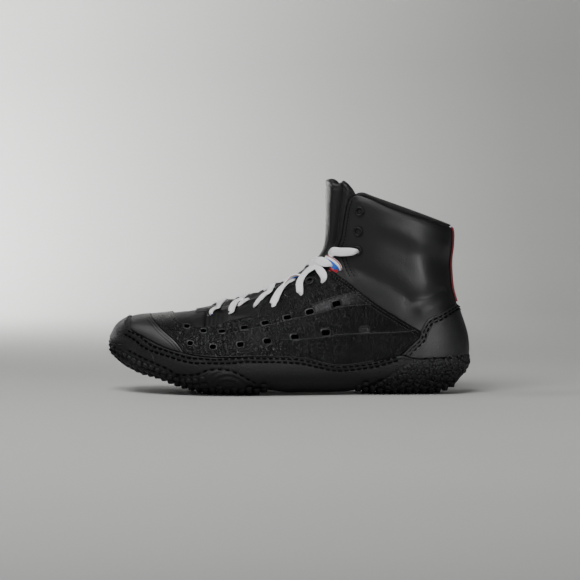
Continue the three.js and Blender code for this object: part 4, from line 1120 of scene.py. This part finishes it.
def down_from(line, depth):
    """The places a depth further down the form from a traced line, walked along straight lines to the base;
    places past the base are left out."""
    foot = np.stack([line[:, 0], np.full(len(line), np.pi)], -1)
    lines = line + np.linspace(0, 1, 80)[:, None, None] * (foot - line)
    points = skin(lines[..., 0], lines[..., 1])
    walked = distances(points)
    pick = (walked < depth).sum(0)
    fits = pick < 80
    return lines[pick[fits], np.flatnonzero(fits)]


def row_of_studs(track, pitch, shift, side):
    """Evenly spaced places along a traced line, started a share of the pitch in."""
    angle = track[:, 1] if side > 0 else 2 * np.pi - track[:, 1]
    far = distances(skin(track[:, 0], angle))
    return values_at(np.arange(pitch * shift, far[-1], pitch), far, np.stack([track[:, 0], angle], -1))


def rows_down(start, end, depths, pitch):
    """Rows of places on both sides at depths in millimetres below a stretch of the tread line, every other
    row shifted by half a pitch."""
    line = between(TREAD_LINE, start, end)
    return np.vstack([row_of_studs(down_from(line, depth * MM), pitch, 0.5 + 0.5 * (k % 2), side)
                      for k, depth in enumerate(depths) for side in (1, -1)])


def stand(name, places, size, height, uneven, below=-0.9):
    """Studs on the rubber at rows and angles, each a little different, except where it faces the floor."""
    spread = chance.normal(0, 1, places.shape) * uneven * np.array([0.035, 0.02])
    row, angle = places[:, 0] + spread[:, 0], places[:, 1] + spread[:, 1]
    out = outward(row, angle)
    keep = out[:, 2] > below
    row, angle, out = row[keep], angle[keep], out[keep]
    flat = skin(row, angle)
    foot = flat + out * rubber_outside(row, angle, flat)[:, None]
    sizes = size * (1 + 0.3 * uneven * chance.uniform(-1, 1, len(row)))
    heights = height * (1 + 0.5 * uneven * chance.uniform(-1, 1, len(row)))
    turns = chance.uniform(-1, 1, len(row)) * (0.2 + uneven)
    return studs(name, foot, out, sizes, heights, -0.5 * MM, turns, 4.0 - 1.8 * uneven)


stand("toe_studs", rows_down(0.012, 0.272, (3.2, 8.4, 13.6, 18.8), 5.8 * MM), 5.2 * MM, 1.4 * MM, 0.3)
stand("heel_lumps", rows_down(0.668, 1.03, np.arange(1.6, 30, 2.6), 3.1 * MM), 3.3 * MM, 1.0 * MM, 1.0)

# Under the foot flat studs meet the floor, in straight rows across, every other one shifted by half.
STUD_SIZE, ROW_PITCH, STUD_PITCH = 5.3 * MM, 5.9 * MM, 6.6 * MM
base_line = skin(np.linspace(0, 14.6, 600), np.full(600, np.pi))
walked = distances(base_line)
stud_x, stud_y = [], []
for start, end in ((0.035, 0.44), (0.69, 0.955)):
    first, last = (np.interp((share - 0.5) * LENGTH + MIDDLE_X, base_line[:, 0], walked)
                   for share in (start, end))
    for number, at in enumerate(np.arange(first, last, ROW_PITCH)):
        x = np.interp(at, walked, base_line[:, 0])
        reach = [footprint(np.array([x]), side, STUD_SIZE * 0.55)[0] for side in (-1, 1)]
        across = np.arange(-12, 13) * STUD_PITCH + (number % 2) * STUD_PITCH / 2
        across = across[(across > reach[0]) & (across < reach[1])]
        stud_y += across.tolist()
        stud_x += [x] * len(across)
stud_x, stud_y = np.array(stud_x), np.array(stud_y)
bare = floor_height(stud_x, stud_y)
rows_here = np.interp(stud_x, base_line[:, 0], np.linspace(0, 14.6, 600))
base_angle = np.full(len(rows_here), np.pi)
lift_here = rubber_outside(rows_here, base_angle, skin(rows_here, base_angle))
bottom = bare - lift_here
heights = np.where(bottom < 2.6 * MM, bottom, 1.8 * MM)
down = np.tile([0.0, 0.0, -1.0], (len(stud_x), 1))
studs("foot_studs", np.stack([stud_x, stud_y, bottom], -1), down, np.full(len(stud_x), STUD_SIZE), heights,
      -0.8 * MM, np.zeros(len(stud_x)), 5.0)

# The tongue
# A padded leather tongue: a thick crowned middle that stands in the throat, thin wings that slide under the
# facings, and a deep fold between the two beside the shin.
TONGUE_TOP = [[0.594, 1.018], [0.598, 1.036], [0.603, 1.058], [0.61, 1.068], [0.62, 1.058], [0.6285, 1.043],
              [0.635, 1.052], [0.645, 1.056], [0.657, 1.04], [0.668, 1.012], [0.674, 0.985]]
WING_LINE = beside([[0.24, 0.409], *THROAT_LINE[:12]], -7 * MM).tolist() + [[0.668, 0.835], [0.675, 0.91]]
tongue_top = trace(TONGUE_TOP)
tongue_edge = trace(WING_LINE + [TONGUE_TOP[-1]])
tongue_start = tongue_edge[0, 0]
middle_line = ridge_rows(tongue_start, tongue_top[0, 0])
NEAR_TOP = (0.0, 0.2 * MM, 0.7 * MM, 1.5 * MM, 2.6 * MM, 4.0 * MM)
tongue_grid = ruled([(middle_line, tongue_edge)], 1.1 * MM, end=NEAR_TOP, top=(0.0,), base=NEAR_EDGE)
# The straight last column is bent to the tongue's own top line, and its neighbours follow.
far, far_top = distances(tongue_grid[-1]), distances(tongue_top)
bent = values_at(far / far[-1] * far_top[-1], far_top, tongue_top)
follow = np.clip((np.arange(len(tongue_grid)) / (len(tongue_grid) - 1) - 0.7) / 0.3, 0, 1)[:, None, None]
tongue_grid = tongue_grid + follow * (bent - tongue_grid[-1])[None]

# Between the laces the padding swells up: where, how wide and how high.
TONGUE_SWELLS = [(0.334, 0.014, 1.3 * MM), (0.402, 0.014, 1.3 * MM), (0.47, 0.014, 2.0 * MM)]
PAD_SEAM = [[0.596, 0.857], [0.603, 0.851], [0.622, 0.829], [0.631, 0.815]]


def throat_share(row, angle):
    """Where a place lies across the throat: 0 on the ridge, 1 at the edge of the facings."""
    order = np.argsort(throat[:, 0])
    return angle / np.interp(row, throat[order, 0], throat[order, 1])


def tongue_outside(row, angle, place):
    """Level with the facings in the middle and lower beside it; up the shaft a fold parts pad and wing."""
    share = throat_share(row, angle)
    shaft = rise(row, 13.0, 15.0)
    vamp_face = 1.6 * MM - 4.1 * MM * rise(share, 0.84, 1.02)
    x, _ = side_view(place)
    for middle, wide, high in TONGUE_SWELLS:
        vamp_face = vamp_face + high * bell(x - middle, wide) * (1 - rise(share, 0.3, 0.85))
    pad = 1.6 * MM - 5.0 * MM * rise(share, 0.5, 0.69)
    lobe = 3.4 * MM * rise(share, 0.72, 0.83) - 4.6 * MM * rise(share, 0.92, 1.05)
    shaft_face = np.maximum(pad + lobe, -4.6 * MM)
    lift = vamp_face + (shaft_face - vamp_face) * shaft
    binding = by_line(place, beside(TONGUE_TOP, -3.2 * MM), 0.7 * MM) * shaft
    panel = by_line(place, PAD_SEAM, 0.6 * MM) * (share < 0.55)
    return lift + 0.35 * MM * bell(share, 0.25) * shaft - 0.5 * MM * binding - 0.5 * MM * panel


def tongue_inside(row, angle, place):
    """The back of the tongue, one thickness under the wings."""
    shaft = rise(row, 12.0, 14.0)
    return -3.9 * MM - 2.3 * MM * shaft


tongue_finish = leather("tongue_leather", (0.0042, 0.0042, 0.0045), 1300, 0.6, 0.1 * MM, 0.6,
                        swell=1.5, shine=0.34)
tongue = piece("padded_tongue", *wall(
    tongue_grid, tongue_inside, tongue_outside, free=("base", "start", "end"), rim=2.2 * MM),
    tongue_finish, "tongue_leather", "tongue")

# The eyelets
# Black painted metal rings with a rolled rim. One is pressed into each lace hole of the shaft and into the
# top one of each quarter.
EYELETS = {"quarter": [0.558, 0.557], "shaft_low": [0.688, 0.714], "shaft_mid": [0.688, 0.808],
           "shaft_top": [0.693, 0.909]}
HOLE, RING, RING_RISE = 2.3 * MM, 4 * MM, 1.1 * MM
eyelet_metal, tree, shader, place = material("eyelet_metal")
scuffs = node(tree, "TexNoise", {"Vector": place, "Scale": 900.0, "Detail": 3.0})
fill(tree, shader, {
    "Base Color": blend(tree, scuffs, (0.003, 0.003, 0.003, 1), (0.009, 0.009, 0.0095, 1)),
    "Roughness": graded(tree, scuffs, 0.0, 1.0, 0.42, 0.6),
    "Specular IOR Level": 0.25,
})
angle_in = np.linspace(np.pi, 0, 9)
ring_profile = np.vstack([
    [[HOLE - 0.5 * MM, -1.2 * MM], [HOLE - 0.15 * MM, 0.2 * MM]],
    np.stack([(HOLE + RING) / 2 + (RING - HOLE) / 2 * np.cos(angle_in),
              0.35 * RING_RISE + 0.65 * RING_RISE * np.sin(angle_in)], -1),
    [[RING, 0.0], [RING - 0.4 * MM, -0.3 * MM]],
])
rings, ring_faces = [], []
turn = np.arange(28) * 2 * np.pi / 28
for where, shares in EYELETS.items():
    row, angle, _ = find([shares])
    for side_angle in (angle, 2 * np.pi - angle):
        flat, out = skin(row, side_angle)[0], outward(row, side_angle)[0]
        lift = (1.3 * MM if where == "quarter" else 0.6 * MM) + folds(flat)
        a = np.cross(out, [0, 0, 1.0])
        a /= np.linalg.norm(a)
        b = np.cross(out, a)
        across, up = ring_profile[:, 0][:, None], ring_profile[:, 1][:, None]
        ring = (flat + out * lift + a * (across * np.cos(turn))[..., None]
                + b * (across * np.sin(turn))[..., None] + out * (up + 0 * turn)[..., None])
        k, m = ring.shape[:2]
        ring_faces.append(len(rings) * k * m + tube_faces(1, k + 1, m) % (k * m))
        rings.append(ring.reshape(-1, 3))
piece("eyelet_rings", np.vstack(rings), np.vstack(ring_faces).tolist(), eyelet_metal,
      "eyelet_metal", *(f"eyelet_{where}_{side}" for where in EYELETS for side in ("outer", "inner")))

# The lace
# One flat woven lace, white on its face with red and blue bands on its back and edges, crossed over the
# tongue from hole to hole. Both ends go in at the third eyelets of the shaft and stay inside.
LACE_WIDTH, LACE_THICK = 6.4 * MM, 1.5 * MM
ON_LEATHER = 2.75 * MM
# The camera looks down a little, so what stands nearer than the outer side shows lower than its place.
SEEN_DOWN, LINES_AT = np.tan(np.radians(2.5)), -35 * MM
lace_points, lace_faces, lace_uv = [], [], []


def strand(side, *stops, twist=(), shade=None, onward=None):
    """A flat band through places on a side of the shoe (-1 outer, 1 inner). Each stop is where the band's
    middle shows in the side view, how far it stands off the usual height and its width share; the place on
    the skin is found by moving it until it shows there. A shade gives the whole band the colour of one
    place round it, and onward is where the band dives under the inner facing."""
    spots = []
    for x, z, proud, wide in stops:
        want, lift = np.array([x, z]), ON_LEATHER + proud
        aim = want.copy()
        for _ in range(10):
            row, angle, share = find([aim])
            over_ridge = not share[0] > 0.001
            angle = np.zeros(1) if over_ridge else angle
            angle = angle if side < 0 else 2 * np.pi - angle
            flat, out = skin(row, angle)[0], outward(row, angle)[0]
            made = flat + out * (lift + folds(flat))
            seen = np.array(side_view(made + [0, 0, SEEN_DOWN * (made[1] - LINES_AT)]))
            off = want - seen
            if over_ridge and off[1] > 0:
                lift += min(off[1], 0.006) * COLLAR_HEIGHT / out[2]
                off[1] = 0
            aim = aim + 0.8 * off
        spots.append([*made, *out, wide])
    if onward:
        spots += over_tongue(row, angle, onward, wide)[1:].tolist()
    band_along(spots, twist, shade)


def band_along(spots, twist=(), shade=None):
    """A rounded rectangle carried along the curve through places, their outward directions and width
    shares, and drawn in to a point at both ends."""
    path = smooth(spots, 12)
    places, out, wide = path[:, :3], path[:, 3:6], path[:, 6]
    ahead = unit(np.gradient(places, axis=0))
    out = unit(out - (out * ahead).sum(1, keepdims=True) * ahead)
    across = np.cross(ahead, out)
    if len(twist):
        roll = np.interp(np.linspace(0, 1, len(path)), np.linspace(0, 1, len(twist)), twist)[:, None]
        out, across = out * np.cos(roll) + across * np.sin(roll), across * np.cos(roll) - out * np.sin(roll)
    turn = np.arange(20) * 2 * np.pi / 20
    side = np.sign(np.cos(turn)) * np.abs(np.cos(turn)) ** 0.5
    up = np.sign(np.sin(turn)) * np.abs(np.sin(turn)) ** 0.8
    half = LACE_WIDTH / 2 * wide[:, None]
    thick = LACE_THICK / 2 * (2 - wide[:, None]) ** 0.7
    arch = 0.35 * MM * (1 - side[None] ** 2)
    band = (places[:, None] + across[:, None] * (half * side)[..., None]
            + out[:, None] * (thick * up + arch)[..., None])
    band[[0, -1]] = band[[0, -1]].mean(1, keepdims=True)
    first = sum(len(p) for p in lace_points)
    k, m = band.shape[:2]
    quads = tube_faces(1, k, m)
    u = distances(places)[quads // m]
    share_round = np.append(np.where(turn <= np.pi, 0.25 * (1 - side), 0.5 + 0.25 * (1 + side)), 1.0)
    v = share_round[quads[:, :1] % m + [0, 1, 1, 0]]
    v = v if shade is None else np.full(v.shape, shade)
    lace_points.append(band.reshape(-1, 3))
    lace_faces.append((quads + first)[:, ::-1])
    lace_uv.append(np.stack([u, v], -1)[:, ::-1])


def over_tongue(row, angle, end, wide, on_facing=False):
    """Spots of a band that lies on the padding, from a row and angle of the outer side or the ridge to a
    side-view place of the inner side: there it dives under the facing, or lies on it as far as its hole."""
    last_row, last_angle, _ = find([end])
    share = np.linspace(0, 1, 12)
    rows = row + share * (last_row - row)
    bend = angle - share * (angle + last_angle)
    flat, out = skin(rows, bend % (2 * np.pi)), outward(rows, bend % (2 * np.pi))
    lift = tongue_outside(rows, np.abs(bend), flat) + 1.1 * MM
    facing = ON_LEATHER * rise(throat_share(rows, np.abs(bend)), 0.6, 0.9)
    lift = np.where((bend > 0) | on_facing, np.maximum(lift, facing), lift)
    if on_facing:
        lift[[0, -1]] -= [1.6 * MM, 4 * MM]
    made = flat + out * (lift + folds(flat))[:, None]
    wide = wide + (0.95 - wide) * rise(share, 0, 0.35)
    return np.hstack([made, out, wide[:, None]])


# On the outer side, from the front: out of each hole, up to the ridge and down under the other facing.
strand(-1, (0.287, 0.397, -3.8 * MM, 0.5), (0.286, 0.407, -1.6 * MM, 0.5),
       (0.288, 0.419, -0.9 * MM, 0.55), (0.295, 0.429, -0.7 * MM, 0.55), (0.305, 0.436, -0.4 * MM, 0.6),
       onward=(0.341, 0.404))
strand(-1, (0.341, 0.402, -4 * MM, 0.75), (0.342, 0.417, -0.9 * MM, 0.78),
       (0.344, 0.434, -0.3 * MM, 0.88), (0.349, 0.454, 0, 0.88), (0.357, 0.469, 0, 0.8),
       (0.368, 0.476, 0.2 * MM, 0.65), onward=(0.405, 0.432))
strand(-1, (0.359, 0.437, -4.5 * MM, 0.5), (0.364, 0.449, -2 * MM, 0.6),
       (0.373, 0.463, -1.2 * MM, 0.6), (0.384, 0.474, -1 * MM, 0.5), (0.392, 0.476, -3.6 * MM, 0.4))
strand(-1, (0.405, 0.432, -4 * MM, 0.4), (0.407, 0.446, -0.8 * MM, 0.42),
       (0.414, 0.464, -0.2 * MM, 0.6), (0.423, 0.482, 0, 0.72), (0.432, 0.499, 0.2 * MM, 0.8),
       (0.445, 0.514, 0.4 * MM, 0.78), onward=(0.490, 0.47))
strand(-1, (0.455, 0.438, -4.2 * MM, 0.95), (0.456, 0.453, -0.6 * MM, 0.97), (0.460, 0.470, 0, 1.04),
       (0.467, 0.497, 0.1 * MM, 1), (0.476, 0.525, 0.2 * MM, 0.93), (0.487, 0.546, 0.1 * MM, 0.74),
       (0.498, 0.561, 0, 0.55), (0.509, 0.570, -0.4 * MM, 0.42), (0.520, 0.577, -2 * MM, 0.3),
       (0.529, 0.579, -4 * MM, 0.3))
strand(-1, (0.530, 0.494, -4.2 * MM, 0.8), (0.530, 0.511, -0.4 * MM, 0.88), (0.529, 0.534, 0, 0.94),
       (0.529, 0.557, 0.2 * MM, 0.98), (0.533, 0.577, 0.4 * MM, 0.97), (0.540, 0.595, 0.6 * MM, 0.92),
       (0.548, 0.612, 0.8 * MM, 0.92), (0.557, 0.625, 1.1 * MM, 1), (0.567, 0.636, 1 * MM, 0.9),
       onward=(0.593, 0.556))
strand(-1, (0.591, 0.554, -3.8 * MM, 0.4), (0.592, 0.563, -1.2 * MM, 0.45),
       (0.595, 0.581, -0.2 * MM, 0.85), (0.593, 0.599, 0.1 * MM, 1), (0.585, 0.620, 0.3 * MM, 0.98),
       (0.578, 0.636, 0.5 * MM, 0.85), (0.571, 0.648, 0.9 * MM, 0.75), onward=(0.55, 0.52))
# The one that crosses above the rest, and the turned-over one behind it that shows its bands.
strand(-1, (0.571, 0.668, 1.6 * MM, 0.75), (0.578, 0.669, 2.1 * MM, 1), (0.588, 0.665, 2 * MM, 1.15),
       (0.599, 0.657, 1.6 * MM, 1.05), (0.609, 0.650, 0.9 * MM, 0.75), (0.615, 0.645, 0, 0.4),
       (0.618, 0.641, -1.4 * MM, 0.3))
strand(-1, (0.593, 0.682, -3 * MM, 0.9), (0.602, 0.675, -0.6 * MM, 1.05),
       (0.614, 0.664, -0.2 * MM, 1.15), (0.624, 0.650, -0.4 * MM, 1.2), (0.633, 0.634, -1.2 * MM, 1.1),
       (0.638, 0.616, -3.6 * MM, 0.9), twist=(np.pi, np.pi))
strand(-1, (0.635, 0.599, -5 * MM, 0.4), (0.628, 0.613, -2.6 * MM, 0.7),
       (0.622, 0.623, -1.8 * MM, 0.8), (0.614, 0.629, -1.7 * MM, 0.8),
       (0.605, 0.631, -3 * MM, 0.7), twist=(np.pi, np.pi), shade=0.95)
# The top one, from the third eyelet of the shaft into a slit of the tongue.
strand(-1, (0.688, 0.711, -7.2 * MM, 0.4), (0.687, 0.711, -3.4 * MM, 0.5),
       (0.681, 0.712, -0.6 * MM, 0.72), (0.669, 0.711, -0.1 * MM, 0.97), (0.654, 0.710, 0, 1.06),
       (0.638, 0.710, 0, 1.08), (0.625, 0.713, -0.2 * MM, 1.1), (0.617, 0.708, -0.8 * MM, 1.1),
       (0.610, 0.695, -3.4 * MM, 0.9))
# One that stands on edge over the ridge and shows its bands from the side.
strand(-1, (0.479, 0.529, -3.4 * MM, 0.5), (0.485, 0.543, -0.4 * MM, 0.5),
       (0.494, 0.561, 1 * MM, 0.55), (0.504, 0.579, 1.4 * MM, 0.62), (0.514, 0.589, 1.6 * MM, 0.62),
       (0.524, 0.593, 1 * MM, 0.6), (0.534, 0.589, -0.5 * MM, 0.5),
       (0.540, 0.581, -3 * MM, 0.5), twist=(-0.4, -1.0, -1.3, -1.4, -1.3, -1.0))
# From the holes of the inner side the other bands come up to the ridge, and under the first ones there.
for at_ridge, hole in [((0.312, 0.44), (0.287, 0.397)), ((0.375, 0.47), (0.341, 0.404)),
                       ((0.442, 0.50), (0.405, 0.432)), ((0.497, 0.55), (0.455, 0.441)),
                       ((0.565, 0.63), (0.530, 0.501)), ((0.58, 0.65), (0.593, 0.556))]:
    band_along(over_tongue(find([at_ridge])[0], 0.0, hole, 0.9, on_facing=True))
strand(1, (0.569, 0.638, -3 * MM, 0.9), (0.581, 0.644, -0.8 * MM, 1), (0.602, 0.636, -0.4 * MM, 1),
       (0.621, 0.626, -0.8 * MM, 1), (0.636, 0.611, -4 * MM, 0.8))
strand(1, (0.688, 0.711, -7.2 * MM, 0.4), (0.687, 0.711, -3.4 * MM, 0.5),
       (0.681, 0.712, -0.6 * MM, 0.72), (0.669, 0.711, -0.1 * MM, 0.95), (0.642, 0.710, 0, 1.06),
       (0.627, 0.708, -0.2 * MM, 1.06), (0.617, 0.703, -1.4 * MM, 1), (0.610, 0.696, -4.4 * MM, 0.8))

lace_finish, tree, shader, _ = material("lace_weave")
uv = node(tree, "UVMap", uv_map="lace")
LACE_WHITE, LACE_BLUE, LACE_RED = (0.97, 0.97, 0.975, 1), (0.006, 0.1, 0.55, 1), (0.34, 0.008, 0.018, 1)
round_band = node(tree, "SeparateXYZ", {0: uv}).outputs["Y"]
stretched = node(tree, "Mapping", {"Vector": uv, "Scale": (900, 18, 1)})
ribs = node(tree, "TexWave", {"Vector": stretched, "Scale": 0.5, "Distortion": 0.6},
            bands_direction="DIAGONAL")
lines = node(tree, "TexWave", {"Vector": stretched, "Scale": 0.5, "Distortion": 0.4}, bands_direction="Y")
woven = worked_out(tree, "ADD", ribs.outputs["Fac"], lines.outputs["Fac"])
fill(tree, shader, {
    "Base Color": striped(tree, round_band, (0.0, LACE_WHITE), (0.515, LACE_BLUE), (0.8, LACE_WHITE),
                          (0.93, LACE_RED), (0.985, LACE_WHITE)),
    "Roughness": 0.85,
    "Normal": node(tree, "Bump", {"Height": woven, "Distance": 0.22 * MM}),
    "Sheen Weight": 0.15,
})
lace = piece("flat_lace", np.vstack(lace_points), np.vstack(lace_faces).tolist(), lace_finish,
             "lace_fabric", "lace_bar", "lace_crossing_1", "lace_crossing_2", "lace_crossing_3",
             "lace_crossing_4")
layer = lace.data.uv_layers.new(name="lace")
layer.data.foreach_set("uv", np.vstack(lace_uv).astype(np.float32).ravel())

# The stage
# A pale floor that curves up into a pale wall far behind, soft lights from above, the left and the right,
# and the camera, which looks slightly down from the outer side.
sweep = np.concatenate([[[-3.0, 0.0], [1.2, 0.0]],
                        [[1.2 + np.sin(t), 1.0 - np.cos(t)] for t in np.linspace(0.1, np.pi / 2, 14)],
                        [[2.2, 4.0]]])
wide = np.array([-4.0, 4.0])
stage_points = np.array([[x, y, z - 0.0002] for y, z in sweep for x in wide])
stage_mesh = bpy.data.meshes.new("pale_floor")
stage_mesh.from_pydata(stage_points.tolist(), [], grid_faces(len(sweep), 2)[:, ::-1].tolist())
stage_mesh.polygons.foreach_set("use_smooth", np.ones(len(stage_mesh.polygons), bool))
pale, tree, shader, place = material("pale_paper")
mottle = node(tree, "TexNoise", {"Vector": place, "Scale": 3.0, "Detail": 2.0})
paper = blend(tree, mottle, (0.43, 0.43, 0.42, 1), (0.46, 0.46, 0.449, 1))
# Painted light and shade on the paper: it is paler on the left of the wall, and greyer to the right, high
# up and near the camera.
axes = node(tree, "SeparateXYZ", {0: place})
leftward = graded(tree, axes.outputs["X"], -0.3, 0.3, 1.24, 0.78)
on_wall = graded(tree, axes.outputs["Y"], 0.2, 1.2)
nearer = graded(tree, axes.outputs["Y"], -0.9, -0.1, 0.81, 1.0)
higher = graded(tree, axes.outputs["Z"], 0.05, 0.3, 1.0, 0.76)
across = node(tree, "Mix", {0: on_wall, 2: 1.0, 3: leftward}, data_type="FLOAT")
painted_light_falloff = worked_out(tree, "MULTIPLY", worked_out(tree, "MULTIPLY", across, nearer), higher)
fill(tree, shader, {
    "Base Color": node(tree, "VectorMath", {0: paper, "Scale": painted_light_falloff}, operation="SCALE"),
    "Roughness": 0.8,
})
stage_mesh.materials.append(pale)
floor = bpy.data.objects.new("pale_floor", stage_mesh)
bpy.context.scene.collection.objects.link(floor)


def soft_light(name, place, aim, size, power, cone=None):
    """A square soft box turned to face its aim, or a soft spot with a cone angle in degrees."""
    lamp = bpy.data.lights.new(name, "SPOT" if cone else "AREA")
    lamp.energy = power
    if cone:
        lamp.spot_size, lamp.spot_blend, lamp.shadow_soft_size = np.radians(cone), 1.0, size
    else:
        lamp.shape, lamp.size = "SQUARE", size
    made = bpy.data.objects.new(name, lamp)
    made.location = place
    made.rotation_euler = (Vector(aim) - Vector(place)).to_track_quat("-Z", "Y").to_euler()
    bpy.context.scene.collection.objects.link(made)


soft_light("top_box", (-0.35, -0.95, 1.25), (-0.02, 0, 0.05), 0.9, 25.5)
soft_light("left_box", (-0.78, 0.05, 1.25), (-0.1, 0, 0.05), 0.5, 4.5)
soft_light("right_spot", (0.98, -1.65, 0.28), (0.118, 0, 0.11), 0.22, 330, 7.5)
soft_light("wall_box", (-1.15, 1.2, 0.28), (-0.62, 1.78, 0.1), 0.28, 86)
world = bpy.data.worlds.new("studio")
world.use_nodes = True
world.node_tree.nodes["Background"].inputs["Color"].default_value = (0.9, 0.92, 0.95, 1)
world.node_tree.nodes["Background"].inputs["Strength"].default_value = 0.05
bpy.context.scene.world = world

camera = bpy.data.cameras.new("camera")
camera.sensor_width, camera.lens = 36, 228
camera.clip_end = 20
eye = bpy.data.objects.new("camera", camera)
aim = Vector((0.0014, 0.0, 0.0835))
eye.location = aim + 2.99 * Vector((0, -np.cos(np.radians(2.5)), np.sin(np.radians(2.5))))
eye.rotation_euler = (aim - eye.location).to_track_quat("-Z", "Y").to_euler()
bpy.context.scene.collection.objects.link(eye)
bpy.context.scene.camera = eye
